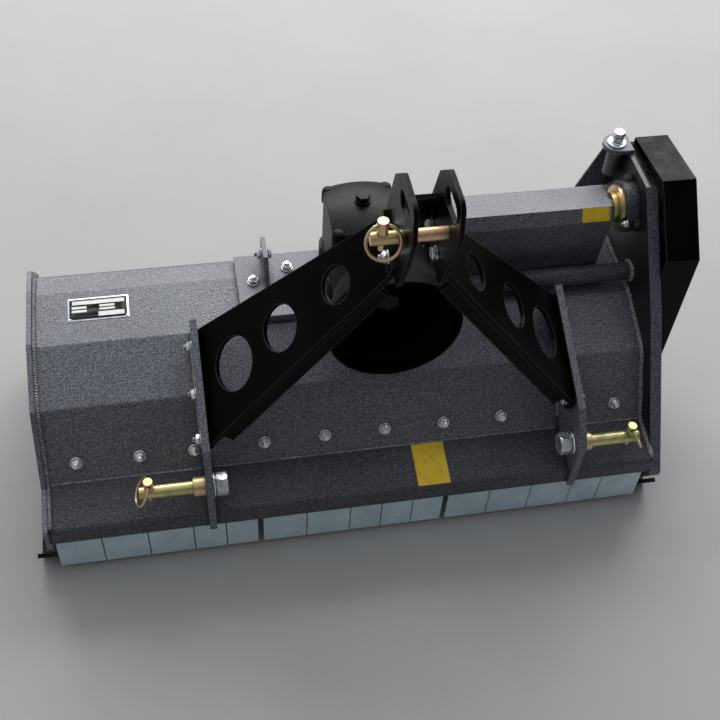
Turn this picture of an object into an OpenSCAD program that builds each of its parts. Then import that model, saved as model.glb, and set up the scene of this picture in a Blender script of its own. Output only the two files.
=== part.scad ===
// Rear hitched flail mower: folded hood on two side plates, three point mast, bevel gearbox,
// belt drive on the right, hammer rotor, hanging front flaps and a full width roller.
// Millimetres. X to the right, Y to the rear, Z up, ground at zero.

/* [Hood] */
// clear width between the side plates
inner_width = 1050; // [900:5:1300]
// thickness of the hood sheet
sheet_t = 4; // [3:0.5:6]
// outer radius of the folds
bend_r = 11; // [8:1:16]
// height of the lower edge of the front lip
lip_low = 110; // [100:1:125]
// height of the front lip
lip_rise = 32; // [26:1:40]
// thickness of the front beam
beam_t = 5; // [4:0.5:7]
// depth of the shelf behind the lip
shelf_run = 83; // [75:1:95]
// rise of the shelf to the rear
shelf_rise = 19; // [12:1:26]
// depth of the steep front panel
front_run = 70; // [62:1:80]
// height of the steep front panel
front_rise = 110; // [100:1:120]
// depth of the second panel
mid_run = 104; // [95:1:115]
// height of the second panel
mid_rise = 42; // [36:1:50]
// depth of the top panel
top_run = 113; // [105:1:125]
// rise of the top panel
top_rise = 8; // [4:1:12]
// depth of the rear strip
crown_run = 46; // [38:1:54]
// fall of the rear strip
crown_fall = 3; // [1:0.5:8]
// depth of the rear wall
back_run = 50; // [40:1:60]
// fall of the rear wall
back_fall = 58; // [48:1:68]
// depth of the rear skirt
tail_run = 8; // [4:1:14]
// fall of the rear skirt
tail_fall = 60; // [45:1:70]

/* [Side plates] */
// thickness of each side plate
side_t = 8; // [6:0.5:12]
// how far the left plate stands proud of the hood
side_margin = 12; // [8:1:16]
// how far the plates reach ahead of the lip
side_nose = 4; // [2:1:8]
// length cut from the lower front corner of the side plates
side_cut_y = 56; // [48:1:62]
// height cut from the lower front corner of the side plates
side_cut_z = 92; // [84:1:96]
// reach of the plates behind the roller axis
side_tail = 42; // [34:1:50]
// height of the top edge of the right plate
right_top = 510; // [502:1:525]
// front end of the top edge of the right plate
right_top_front = 311; // [300:1:325]
// rear end of the top edge of the right plate
right_top_back = 466; // [460:1:480]
// place along Y of the knee in the right front edge
right_knee_y = 161; // [150:1:170]
// height of the knee in the right front edge
right_knee_z = 339; // [325:1:350]
// width of the folded front edge of the right plate
rim_w = 20; // [16:1:24]
// thickness of the skid runners
skid_t = 8; // [6:0.5:12]
// width of the skid runners
skid_w = 32; // [24:1:40]
// bend radius of the skid tips
skid_bend = 14; // [11:1:20]

/* [Three point hitch] */
// sideways place of the hitch middle from the hood middle
hitch_x = 58; // [40:1:75]
// distance between the shoulders of the two lower pins
lower_span = 683; // [660:1:700]
// diameter of the lower pins
lower_pin_d = 22; // [20:0.5:28]
// free length of the lower pins beyond the shoulder
lower_pin_l = 88; // [84:1:100]
// length of the lower hitch pin that carries the ball
lower_seat_l = 62; // [58:1:63]
// diameter of the lower hitch pin at its turned end
lower_tip_d = 21; // [20:0.1:21.5]
// length of the pin shoulder
collar_l = 20; // [14:1:26]
// diameter of the pin shoulder
collar_d = 32; // [28:1:40]
// place of the lower pin axis along Y
lower_pin_y = 22; // [16:1:30]
// height of the lower pin axis
lower_pin_z = 197; // [190:1:205]
// thickness of the hitch brackets
bracket_t = 12; // [10:0.5:16]
// reach of the brackets ahead of the lip
bracket_nose = 9; // [6:1:14]
// height of the bracket front edge above the pin axis
bracket_eye_rise = 28; // [22:1:36]
// bracket rim above the foot line of the mast legs
bracket_rim = 16; // [12:1:20]
// bracket reach in front of and behind the mast legs
bracket_over = 13; // [10:1:16]

/* [Mast] */
// height of the top link pin above the lower pins
mast_height = 531; // [500:1:545]
// place of the top link pin behind the lower pins
mast_back = -2; // [-8:1:10]
// backward lean of the leg foot line
leg_tilt = 24.7; // [22:0.1:27]
// thickness of the leg plates
leg_t = 8; // [6:0.5:9]
// foot line of the legs above the hood fold
leg_lift = 40; // [38:1:44]
// leg foot reach ahead of the hood fold
leg_foot_front = 94; // [86:1:100]
// leg foot reach behind the hood fold
leg_foot_back = 103; // [96:1:106]
// leg head below the top link pin
leg_head_drop = 101; // [96:1:108]
// leg head reach ahead of the top link pin
leg_head_front = 19; // [14:1:24]
// leg head reach behind the top link pin
leg_head_back = 69; // [62:1:74]
// width of the folded front edge of the legs
leg_fold = 28; // [22:1:34]
// height of the bolted leg end flanges
leg_flange = 32; // [30:1:34]
// free gap between the two ears
ear_gap = 54; // [50:1:58]
// thickness of the ears
ear_t = 7; // [6:0.5:9]
// diameter of the top link pin
top_pin_d = 19; // [18:0.5:22]
// reach of the rear ear corner behind the pin
ear_tip_y = 72; // [68:1:78]
// height of the rear ear corner above the pin
ear_tip_z = 46; // [42:1:52]
// reach of the upper front ear corner ahead of the pin
ear_nose_y = 36; // [32:1:40]
// reach of the lower front ear corner ahead of the pin
ear_chin_y = 45; // [41:1:48]
// height of the lower front ear corner
ear_chin_z = 25; // [20:1:30]
// distance of the ears' upper rear corner behind the top link pin
ear_crown_y = 36; // [30:1:42]
// height of the ears' top edge above the top link pin
ear_crown_z = 77; // [70:1:82]
// distance of the ears' throat in front of the top link pin
ear_throat_y = 28; // [24:1:32]
// drop of the ears' throat below the top link pin
ear_throat_z = 28; // [22:1:34]
// length of the long hole above the top link pin
slot_l = 60; // [50:1:64]
// height of the long hole above the top link pin
slot_h = 30; // [24:1:32]
// distance of the long hole's middle behind the top link pin
slot_y = 6; // [2:1:10]
// height of the long hole's middle above the top link pin
slot_z = 43; // [40:1:46]
// place of the front ear foot behind the pin
ear_foot_front = 8; // [2:1:12]
// drop of the front ear foot
ear_foot_drop = 112; // [108:1:116]
// place of the rear ear foot behind the pin
ear_heel_y = 116; // [112:1:122]
// drop of the rear ear foot
ear_heel_drop = 74; // [70:1:78]
// radius of the ear corners
ear_corner_r = 18; // [12:1:20]
// thickness of the plate between the ears
spacer_t = 8; // [6:0.5:10]

/* [Gearbox] */
// sideways place of the gearbox input axis
gear_x = 54; // [46:1:62]
// place of the cross shaft axis along Y
drive_y = 345; // [340:1:350]
// height of the cross shaft axis
drive_z = 440; // [437:1:445]
// height of the flat top of the gearbox base
base_top = 330; // [328:1:335]
// reach of the base to the left of the input axis
base_left = 228; // [215:1:240]
// reach of the base to the right of the input axis
base_right = 86; // [82:1:90]
// depth of the base behind the hood fold
base_depth = 150; // [140:1:152]
// gearbox reach to the left of the input axis
case_left = 72; // [68:1:80]
// gearbox reach to the right of the input axis
case_right = 46; // [44:1:52]
// gearbox reach ahead of the cross axis
case_front = 60; // [58:1:66]
// gearbox reach behind the cross axis
case_back = 66; // [60:1:72]
// height of the gearbox top
case_top = 498; // [495:1:505]
// corner radius of the gearbox
case_r = 22; // [16:1:26]
// radius of the domed gearbox top
dome_r = 170; // [150:1:220]
// length of the output neck
neck_l = 58; // [54:1:64]
// radius of the output neck
neck_r = 39; // [38:1:44]
// radius of the front bearing flange
flange_r = 58; // [54:1:62]
// thickness of the front bearing flange
flange_t = 13; // [10:1:18]
// mean radius of the large bevel gear
gear_r = 42; // [40:1:43]
// gear ratio between the input and the cross shaft
gear_ratio = 3; // [3:0.1:3.4]
// tooth count of the large bevel gear
gear_teeth = 30; // [24:1:36]
// diameter of the splined input shaft
input_d = 35; // [33:0.5:38]
// length of the input shaft ahead of the gearbox
input_l = 118; // [105:1:126]
// length of the splines
spline_l = 76; // [65:1:85]
// count of splines
spline_count = 6; // [6:1:10]
// length of the drive shaft guard
guard_l = 164; // [150:1:170]
// radius of the guard mouth
guard_r = 108; // [100:1:112]
// wall of the guard
guard_t = 4; // [3:0.5:6]

/* [Belt drive] */
// diameter of the cross shaft
cross_d = 30; // [28:0.5:34]
// journal diameter of the cross shaft in the gearbox
journal_d = 24; // [22:0.5:25]
// pitch radius of the drive pulley
drive_pulley_r = 75; // [72:0.5:76]
// pitch radius of the rotor pulley
rotor_pulley_r = 55; // [52:0.5:56]
// width of both pulleys
pulley_w = 34; // [32:0.5:36]
// number of belts
belt_count = 2; // [1:1:2]
// distance between belts
belt_pitch = 15; // [14.8:0.1:16]
// top width of a belt
belt_w = 12.6; // [11.5:0.1:12.8]
// depth of a belt
belt_h = 9; // [8:0.1:10]
// depth of the belt cover
cover_depth = 72; // [70:1:78]
// sheet of the belt cover and the shaft cover
cover_t = 3; // [2:0.5:3]
// left end of the shaft cover from the input axis
shield_left = 112; // [108:1:120]
// clear length between the shaft cover and the right plate
shield_clear = 45; // [42:1:52]
// height of the shaft cover top above the shaft
shield_rise = 22; // [20:1:28]
// slope height at the top of the shaft cover
shield_slope = 22; // [16:1:26]
// reach of the shaft cover ahead of the shaft
shield_front = 35; // [32:1:38]
// reach of the shaft cover behind the shaft
shield_back = 34; // [32:1:38]
// width of the bolted shaft cover flange
shield_flange = 20; // [14:1:22]
// outer radius of the outer bearing housing
housing_r = 46; // [42:1:50]
// depth of the outer bearing housing
housing_l = 22; // [18:1:24]
// radius of the plated ring on the bearing
ring_r = 38; // [34:1:41]
// thickness of the plated ring
ring_t = 8; // [6:0.5:10]
// radius of the plated sleeve
sleeve_r = 26; // [22:1:29]
// diameter of the brace tube beside the shaft cover
brace_d = 33; // [28:1:36]
// place of the brace tube behind the second fold
brace_back = 20; // [19:1:23]
// height of the brace tube axis above the second fold
brace_rise = 32; // [28:1:34]
// inward place of the tension bolt from the right plate
tension_in = 17; // [16:1:22]
// place of the tension bolt along Y
tension_y = 424; // [418:1:428]
// radius of the rounded tension plate
tension_r = 24; // [20:1:26]
// thickness of the tension plate
tension_t = 8; // [6:0.5:10]
// length of the tube under the tension plate
tension_tube_l = 58; // [48:1:66]

/* [Rotor] */
// place of the rotor axis along Y
rotor_y = 276; // [274:1:280]
// height of the rotor axis
rotor_z = 160; // [156:1:164]
// radius of the circle of the hammer tips
tip_r = 126; // [122:1:128]
// radius of the drum tube
drum_r = 38; // [34:1:40]
// radius of the circle of the hammer pivots
pivot_r = 74; // [72:0.5:76]
// diameter of the rotor shaft ends
stub_d = 35; // [32:0.5:38]
// hammers in each of the four rows
row_hammers = 5; // [3:1:5]
// width of a hammer head
hammer_w = 44; // [38:1:46]
// thickness of a hammer head
hammer_t = 22; // [18:1:23]
// width of a hammer eye
eye_w = 18; // [14:1:20]
// radius of a hammer eye
eye_r = 13; // [12:0.5:13]
// diameter of the hammer bolts
hammer_bolt_d = 12; // [10:0.5:13]
// thickness of a rotor lug
lug_t = 8; // [6:0.5:8]
// thickness of the rotor bearing housings
bearing_l = 26; // [24:0.5:28]
// length of the left rotor bearing outside its plate
left_bearing_l = 12; // [10:0.5:14]
// radius of the rotor bearing housings
bearing_r = 40; // [36:1:44]

/* [Flaps] */
// place of the flap rod behind the lip
flap_rod_y = 17; // [16:1:20]
// height of the flap rod above the lower lip edge
flap_rod_rise = 4; // [2:0.5:6]
// diameter of the flap rod
flap_rod_d = 10; // [9:0.5:12]
// thickness of the flap plates
flap_t = 4; // [3:0.5:5]
// length of the flaps below the rod
flap_l = 101; // [94:1:103]
// width of a narrow flap as a share of a wide one
narrow_share = 0.714; // [0.6:0.002:0.9]
// gap between neighbouring flaps
flap_gap = 2; // [1.5:0.1:3]
// thickness of the two hanger lugs
hanger_t = 6; // [5:0.5:8]

/* [Counter bar] */
// thickness of the counter bar behind the front panel
bar_t = 10; // [8:0.5:12]
// height of the counter bar
bar_h = 44; // [36:1:50]
// place of the bolts up the front panel
bolt_up = 34; // [30:1:38]
// count of bolts through the front panel
bar_bolts = 10; // [6:1:12]

/* [Roller] */
// radius of the rear roller
roller_r = 60; // [56:1:64]
// place of the roller axis along Y
roller_y = 474; // [470:1:480]
// wall of the roller tube
roller_wall = 5; // [4:0.5:8]
// diameter of the roller axle ends
axle_d = 25; // [22:0.5:28]
// thickness of the roller arms
arm_t = 10; // [8:0.5:12]

/* [Fasteners] */
// diameter of the frame bolts
bolt_d = 10; // [8:0.5:12]
// diameter of the small bolts
small_bolt_d = 8; // [6:0.5:9]
// diameter of the nuts on the lower pins across corners
pin_nut_d = 40; // [36:1:44]
// diameter of the linch pins
linch_d = 9; // [8:0.5:10]
// radius of the linch pin rings
linch_ring_r = 24; // [23:0.5:25]
// wire diameter of the linch pin rings
linch_wire_d = 4.4; // [4:0.1:5]
// distance of the linch pin from the end of a lower pin
linch_end = 16; // [14:1:20]

/* [Fits] */
// radial clearance of shafts and hinge pins
running_fit = 0.08; // [0.03:0.01:0.1]
// clearance of parts fixed together
seat_fit = 0.05; // [0.02:0.01:0.1]
// free space beside moving parts
free_fit = 0.6; // [0.4:0.1:1]
// radial clearance of bolts in their holes
bolt_fit = 0.3; // [0.2:0.05:0.5]

/* [Hidden] */
$fn = 64;
fold_steps = 6;
overrun = 2;

// colours as the object shows them
paint = [0.16, 0.16, 0.17];
gloss = [0.07, 0.07, 0.075];
rubber = [0.05, 0.05, 0.05];
plated = [0.72, 0.58, 0.32];
zinc = [0.75, 0.76, 0.77];
flap_zinc = [0.55, 0.61, 0.65];
steel = [0.42, 0.42, 0.43];

half_width = inner_width / 2;
plate_out = half_width + side_t;

// hood outline, outer face, from the shelf to the rear skirt
lip_top = lip_low + lip_rise;
point_c = [0, lip_low];
point_b = [0, lip_top];
point_a = [shelf_run, lip_top + shelf_rise];
point_d = point_a + [front_run, front_rise];
point_e = point_d + [mid_run, mid_rise];
point_f = point_e + [top_run, top_rise];
point_g = point_f + [crown_run, -crown_fall];
point_h = point_g + [back_run, -back_fall];
point_i = point_h + [tail_run, -tail_fall];
hood_line = [point_a, point_d, point_e, point_f, point_g, point_h, point_i];
front_slope = atan2(front_rise, front_run);

// hitch, mast and leg places
bracket_out = lower_span / 2 - collar_l;
bracket_in = bracket_out - bracket_t;
mast_pin = [lower_pin_y + mast_back, lower_pin_z + mast_height];
ear_in = ear_gap / 2;
ear_out = ear_in + ear_t;
fold_leg = unlean(point_d);
pin_leg = unlean(mast_pin);
foot_z = fold_leg[1] + leg_lift;
foot_front = fold_leg[0] - leg_foot_front;
foot_back = fold_leg[0] + leg_foot_back;
head_z = pin_leg[1] - leg_head_drop;
head_front = pin_leg[0] - leg_head_front;
head_back = pin_leg[0] + leg_head_back;
leg_dx = bracket_in - ear_out - leg_t;
leg_dz = head_z - foot_z;
leg_l = norm([leg_dx, leg_dz]);
leg_slope = atan2(leg_dz, leg_dx);
leg_hole_shares = [0.19, 0.46, 0.76];
leg_hole_r_share = 0.255;
foot_bolt_shares = [0.08, 0.47, 0.88];
head_bolt_shares = [0.25, 0.75];
flange_bolt_share = 0.6;

// drive places along X on the right
pulley_gap = bearing_l + 4 * free_fit + overrun;
pulley_in = plate_out + pulley_gap;
pulley_end = pulley_in + pulley_w;
shaft_end = pulley_end + overrun;
case_x = half_width + rim_w;
cover_out = plate_out + cover_depth;
belt_mid = pulley_in + pulley_w / 2;
case_face = drive_y - case_front;
guard_back = case_face - flange_t;
shaft_tip = case_face - input_l;
shield_x0 = gear_x + shield_left;
shield_x1 = half_width - shield_clear;
tension_x = half_width - tension_in;
brace_point = point_e + [brace_back, brace_rise];
pinion_r = gear_r / gear_ratio;

// rotor and flap places
hammer_pitch = inner_width / (4 * row_hammers + 1);
lug_in = eye_w / 2 + free_fit;
row_turns = [-90, 0, 90, 180];
row_hangs = [0, -90, -95, 90];
flap_pattern = [1, 1, 1, 0, 0, 1, 1, 0, 0, 0, 1, 1, 1, 0, 1];
flap_count = len(flap_pattern);
group_size = 5;
flap_rod = [flap_rod_y, lip_low + flap_rod_rise];
hanger_space = hanger_t + flap_gap;
flap_free = inner_width - flap_gap * (flap_count + 1) - hanger_space * 2;
flap_unit = flap_free / sum([for (w = flap_pattern) flap_share(w)]);
roller_z = roller_r;
bar_pitch = inner_width / bar_bolts;

// place of the whole machine: middle of its box at the origin
box_left = min(-half_width - skid_w, -plate_out - left_bearing_l - overrun);
box_right = cover_out;
ear_front = [
    mast_pin + [-ear_nose_y, ear_crown_z], mast_pin + [-ear_chin_y, ear_chin_z],
    mast_pin + [-ear_throat_y, -ear_throat_z]];
box_front = min(-bracket_nose, -side_nose, pushed(ear_front, ear_corner_r)[1][0] - ear_corner_r);
box_back = roller_y + roller_r;
shift = [-(box_left + box_right) / 2, -(box_front + box_back) / 2, 0];

function unit(v) = v / norm(v);
function turn(v) = [-v[1], v[0]];
function sum(v, i = 0) = i < len(v) ? v[i] + sum(v, i + 1) : 0;
function wrap(a) = a > 180 ? a - 360 : a < -180 ? a + 360 : a;
function polar(r, a) = [r * cos(a), r * sin(a)];
function mid(a, b, s) = a + (b - a) * s;
function flap_share(w) = w == 1 ? 1 : narrow_share;
function edge_normal(a, b) = turn(unit(b - a));
function pushed_point(p, i, d) =
    i == 0 ? p[0] + d * edge_normal(p[0], p[1]) :
    i == len(p) - 1 ? p[i] + d * edge_normal(p[i - 1], p[i]) :
    pushed_corner(p[i - 1], p[i], p[i + 1], d);
function pushed_corner(a, b, c, d) =
    let (m = edge_normal(a, b), n = edge_normal(b, c))
    b + d * (m + n) / (1 + m * n);
function pushed(p, d) = [for (i = [0 : len(p) - 1]) pushed_point(p, i, d)];
function pushed_ring(p, d) =
    let (n = len(p))
    [for (i = [0 : n - 1]) pushed_corner(p[(i + n - 1) % n], p[i], p[(i + 1) % n], d)];
function reversed(p) = [for (i = [len(p) - 1 : -1 : 0]) p[i]];
function strip(p, d) = concat(p, reversed(pushed(p, d)));
function fold(a, b, c, r) =
    let (u = unit(a - b), v = unit(c - b), h = acos(u * v) / 2)
    let (m = b + unit(u + v) * r / sin(h))
    let (s = b + u * r / tan(h) - m, e = b + v * r / tan(h) - m)
    let (from = atan2(s[1], s[0]), sweep = wrap(atan2(e[1], e[0]) - from))
    [for (k = [0 : fold_steps]) m + polar(r, from + sweep * k / fold_steps)];
function folded(p, r) = concat(
    [p[0]],
    [for (i = [1 : len(p) - 2]) each fold(p[i - 1], p[i], p[i + 1], r)],
    [p[len(p) - 1]]);
function folded_ring(p, r) =
    let (n = len(p))
    [for (i = [0 : n - 1]) each fold(p[(i + n - 1) % n], p[i], p[(i + 1) % n], r)];
// between the YZ plane and the leaning frame of the mast legs
function lean(p) =
    [p[0] * cos(leg_tilt) - p[1] * sin(leg_tilt), p[0] * sin(leg_tilt) + p[1] * cos(leg_tilt)];
function unlean(p) =
    [p[0] * cos(leg_tilt) + p[1] * sin(leg_tilt), p[1] * cos(leg_tilt) - p[0] * sin(leg_tilt)];
function hood_z(y) =
    y < point_f[0] ? point_e[1] + (y - point_e[0]) * top_rise / top_run :
    point_f[1] - (y - point_f[0]) * crown_fall / crown_run;
// a bolt that would meet a hitch bracket stands beside it
function bar_bolt_x(x) =
    let (off = x - hitch_x, gap = abs(abs(off) - (bracket_in + bracket_out) / 2))
    gap > bracket_t / 2 + bolt_d * 1.2 ? x : hitch_x + sign(off) * (bracket_out + bolt_d * 1.3);
function shelf_z(y) = lip_top + y * shelf_rise / shelf_run;
function hammer_x(row, i) = (4 * i + row - (4 * row_hammers - 1) / 2) * hammer_pitch;
function flap_width(i) = flap_unit * flap_share(flap_pattern[i]);
function flap_left(i) = i == 0 ? -half_width + flap_gap :
    flap_left(i - 1) + flap_width(i - 1) + flap_gap + (i % group_size == 0 ? hanger_space : 0);

// general shapes
module along_x(x0, x1) {
    translate([x0, 0, 0])
        rotate([90, 0, 90])
            linear_extrude(height = x1 - x0)
                children();
}

module along_y(y0, y1) {
    translate([0, y1, 0])
        rotate([90, 0, 0])
            linear_extrude(height = y1 - y0)
                children();
}

module rod_x(x0, x1, p, r) {
    translate([x0, p[0], p[1]])
        rotate([0, 90, 0])
            cylinder(h = x1 - x0, r = r);
}

module rod_y(y0, y1, x, z, r) {
    translate([x, y0, z])
        rotate([-90, 0, 0])
            cylinder(h = y1 - y0, r = r);
}

module both_hitch_sides() {
    translate([hitch_x, 0, 0])
        children();
    translate([hitch_x, 0, 0])
        mirror([1, 0, 0])
            children();
}

module both_ends() {
    children();
    mirror([1, 0, 0])
        children();
}

module leg_frame() {
    rotate([leg_tilt, 0, 0])
        children();
}

// hexagon nut with its washer on the plane z = 0, stud end above
module nut_stack(d, stud) {
    cylinder(h = d * 0.2, r = d * 1.1);
    translate([0, 0, d * 0.2])
        cylinder(h = d * 0.8, r = d * 0.95, $fn = 6);
    cylinder(h = d + stud, r = d / 2);
}

// bolt head with its washer on the plane z = 0
module head_stack(d) {
    cylinder(h = d * 0.2, r = d * 1.1);
    translate([0, 0, d * 0.2])
        cylinder(h = d * 0.65, r = d * 0.95, $fn = 6);
}

// bolt through plates of thickness t: nut side up at z = 0, head below z = -t
module through_bolt(d, t, stud) {
    nut_stack(d, stud);
    translate([0, 0, -t])
        cylinder(h = t + overrun, r = d / 2);
    translate([0, 0, -t])
        mirror([0, 0, 1])
            head_stack(d);
}

module bolt_hole(d, t) {
    translate([0, 0, -t - overrun])
        cylinder(h = t + overrun * 2, r = d / 2 + bolt_fit);
}

// places of bolts
module at_bar_bolts() {
    p = point_a + polar(bolt_up, front_slope);
    for (i = [0 : bar_bolts - 1])
        translate([bar_bolt_x((i + 1 / 2) * bar_pitch - half_width), p[0], p[1]])
            rotate([front_slope, 0, 0])
                children();
}

module at_foot_bolts() {
    for (s = foot_bolt_shares)
        leg_frame()
            translate([
                -bracket_out, mid(foot_front, foot_back, s), foot_z - leg_flange * flange_bolt_share])
                rotate([0, -90, 0])
                    children();
}

module at_head_bolts() {
    for (s = head_bolt_shares)
        leg_frame()
            translate([
                -ear_out - leg_t, mid(head_front, head_back, s), head_z + leg_flange * flange_bolt_share])
                rotate([0, -90, 0])
                    children();
}

module hood_shell() color(paint) {
    difference() {
        along_x(-half_width, half_width)
            polygon(strip(folded(hood_line, bend_r), -sheet_t));
        at_bar_bolts()
            bolt_hole(bolt_d, sheet_t);
    }
}

module front_beam() color(paint) {
    along_x(-half_width, half_width)
        polygon(strip(folded([point_c, point_b, point_a], bend_r), -beam_t));
    for (g = [1, 2]) {
        x = flap_left(g * group_size) - flap_gap - hanger_t;
        along_x(x, x + hanger_t)
            hanger();
    }
}

// lug under the shelf that carries the flap rod
module hanger() {
    w = flap_rod_d;
    y0 = flap_rod_y - w;
    y1 = flap_rod_y + w;
    difference() {
        union() {
            polygon([
                [y0, flap_rod[1]], [y1, flap_rod[1]],
                [y1, shelf_z(y1) - beam_t / 2], [y0, shelf_z(y0) - beam_t / 2]]);
            translate(flap_rod)
                circle(r = w);
        }
        translate(flap_rod)
            circle(r = flap_rod_d / 2 + seat_fit);
    }
}

module left_side_plate() color(paint) {
    difference() {
        along_x(-plate_out, -half_width)
            polygon(concat(
                [[side_cut_y - side_nose, skid_t], [-side_nose, skid_t + side_cut_z]],
                [[-side_nose, lip_top + side_margin]],
                pushed(hood_line, side_margin),
                [[roller_y + side_tail, roller_z + side_tail], [roller_y + side_tail, roller_z]],
                [[roller_y, skid_t]]));
        rod_x(-plate_out - overrun, -half_width + overrun, [rotor_y, rotor_z], stub_d * 0.7);
    }
}

// front edge of the right plate, from the chamfer up to the top edge
function right_front() =
    [[-side_nose, skid_t + side_cut_z], [-side_nose, lip_low], [right_knee_y, right_knee_z],
        [right_top_front, right_top]];

function right_outline() =
    let (rear = pushed(hood_line, side_margin))
    concat(
        [[side_cut_y - side_nose, skid_t]], right_front(),
        [[right_top_back, right_top], [right_top_back, rear[4][1]], rear[5], rear[6]],
        [[roller_y + side_tail, roller_z + side_tail], [roller_y + side_tail, roller_z]],
        [[roller_y, skid_t]]);

module right_side_plate() color(paint) {
    along_x(plate_out - overrun, case_x)
        polygon(strip(right_front(), -side_t));
    difference() {
        along_x(half_width, plate_out)
            polygon(right_outline());
        rod_x(half_width - overrun, plate_out + overrun, [rotor_y, rotor_z], stub_d * 0.7);
        rod_x(half_width - overrun, plate_out + overrun, [drive_y, drive_z], cross_d * 0.7);
    }
}

module skids() color(gloss) {
    tip_share = 0.55;
    corner = [[side_cut_y - side_nose, skid_t], [-side_nose, skid_t + side_cut_z]];
    edge = pushed(corner, skid_t + side_nose);
    bend = mid(edge[0], edge[1], -edge[0][1] / (edge[1][1] - edge[0][1]));
    line = [[roller_y - roller_r, 0], bend, mid(edge[0], edge[1], tip_share)];
    both_ends()
        along_x(half_width, half_width + skid_w)
            polygon(strip(folded(line, skid_bend), -skid_t));
}

module hitch_brackets() color(paint) {
    over = bracket_over;
    both_hitch_sides()
        difference() {
            along_x(-bracket_out, -bracket_in)
                polygon([
                    [-bracket_nose, lip_low], [-bracket_nose, lower_pin_z + bracket_eye_rise],
                    lean([foot_front - over, foot_z + bracket_rim]),
                    lean([foot_back + over, foot_z + bracket_rim]),
                    point_e, point_d, point_a, point_b, point_c]);
            rod_x(-bracket_out - overrun, -bracket_in + overrun, [lower_pin_y, lower_pin_z],
                lower_pin_d / 2 + seat_fit);
            at_foot_bolts()
                bolt_hole(bolt_d, bracket_t);
        }
}

// outer face of a leg across its two bends, from the foot up
function leg_line() =
    [[-bracket_in, foot_z - leg_flange], [-bracket_in, foot_z],
        [-ear_out - leg_t, head_z], [-ear_out - leg_t, head_z + leg_flange]];

// outline of a leg from the side, in the leaning frame
function leg_side() =
    [[foot_front, foot_z - leg_flange - overrun], [foot_back, foot_z - leg_flange - overrun],
        [foot_back, foot_z], [head_back, head_z],
        [head_back, head_z + leg_flange + overrun], [head_front, head_z + leg_flange + overrun],
        [head_front, head_z], [foot_front, foot_z]];

module mast_legs() color(gloss) {
    both_hitch_sides()
        difference() {
            leg_frame()
                union() {
                    intersection() {
                        along_y(foot_front - overrun, head_back + overrun)
                            polygon(strip(folded(leg_line(), bend_r), -leg_t));
                        along_x(-bracket_in - overrun, -ear_out + overrun)
                            polygon(leg_side());
                    }
                    leg_lip();
                }
            leg_frame()
                translate([-bracket_in, 0, foot_z])
                    rotate([0, -leg_slope, 0])
                        leg_openings();
            at_foot_bolts()
                bolt_hole(bolt_d, bracket_t + leg_t);
            at_head_bolts()
                bolt_hole(bolt_d, leg_t);
        }
}

// folded front edge below the sloping plate of a leg
module leg_lip() {
    line = leg_line();
    inset = leg_t / 8;
    ends = [for (s = [leg_fold, leg_l - leg_fold]) mid(line[1], line[2], s / leg_l)];
    edge = pushed([[foot_front, foot_z], [head_front, head_z]], -inset);
    intersection() {
        along_y(foot_front - overrun, head_back + overrun)
            polygon(concat(pushed(ends, -leg_t / 2), reversed(pushed(ends, -leg_fold))));
        along_x(-bracket_in - overrun, -ear_out + overrun)
            polygon(strip(edge, -leg_t));
    }
}

// three round openings through the sloping plate, with x along the slope
module leg_openings() {
    for (s = leg_hole_shares) {
        ends = mid([foot_front, foot_back], [head_front, head_back], s);
        translate([leg_l * s, (ends[0] + ends[1]) / 2, -leg_t - overrun])
            cylinder(h = leg_t + overrun * 2, r = (ends[1] - ends[0]) * leg_hole_r_share);
    }
}

// hole with round ends, of overall length l and height h
module long_hole(l, h) {
    for (s = [-1, 1])
        translate([s * (l - h) / 2, 0])
            circle(r = h / 2);
    translate([-(l - h) / 2, -h / 2])
        square([l - h, h]);
}

module mast_ears() color(paint) {
    tip = mast_pin + [ear_tip_y, ear_tip_z];
    heel = mast_pin + [ear_heel_y, -ear_heel_drop];
    crown = mast_pin + [ear_crown_y, ear_crown_z];
    foot = mast_pin + [ear_foot_front, -ear_foot_drop];
    outline = concat([tip, crown], ear_front, [foot, heel]);
    back = edge_normal(heel, tip);
    spacer_shares = [0.1, 0.62];
    both_hitch_sides()
        difference() {
            along_x(-ear_out, -ear_in)
                difference() {
                    polygon(folded_ring(outline, ear_corner_r));
                    translate(mast_pin)
                        circle(r = top_pin_d / 2 + running_fit);
                    translate(mast_pin + [slot_y, slot_z])
                        long_hole(slot_l, slot_h);
                }
            at_head_bolts()
                bolt_hole(bolt_d, ear_t + leg_t);
        }
    low = mid(heel, tip, spacer_shares[0]) + back * spacer_t;
    high = mid(heel, tip, spacer_shares[1]) + back * spacer_t;
    along_x(hitch_x - ear_in, hitch_x + ear_in)
        polygon([low, high, high + back * spacer_t, low + back * spacer_t]);
}

module lower_pins() color(plated) {
    axis = [lower_pin_y, lower_pin_z];
    span = lower_span / 2;
    tail = bracket_in - pin_nut_d * 0.58;
    both_hitch_sides()
        difference() {
            union() {
                rod_x(-span - lower_seat_l, -tail, axis, lower_pin_d / 2);
                rod_x(-span - lower_pin_l, -span, axis, lower_tip_d / 2);
                rod_x(-span, -bracket_out, axis, collar_d / 2);
            }
            translate([-span - lower_pin_l + linch_end, lower_pin_y, lower_pin_z - lower_pin_d])
                cylinder(h = lower_pin_d * 2, r = linch_d / 2 + running_fit);
        }
}

module pin_nuts() {
    washer_t = pin_nut_d * 0.1;
    nut_t = pin_nut_d * 0.5;
    both_hitch_sides()
        translate([-bracket_in, lower_pin_y, lower_pin_z])
            rotate([0, 90, 0])
                difference() {
                    union() {
                        cylinder(h = washer_t, r = pin_nut_d * 0.52);
                        translate([0, 0, washer_t])
                            cylinder(h = nut_t, r = pin_nut_d / 2, $fn = 6);
                    }
                    translate([0, 0, -overrun])
                        cylinder(h = nut_t * 2, r = lower_pin_d / 2 + seat_fit);
                }
}

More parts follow.
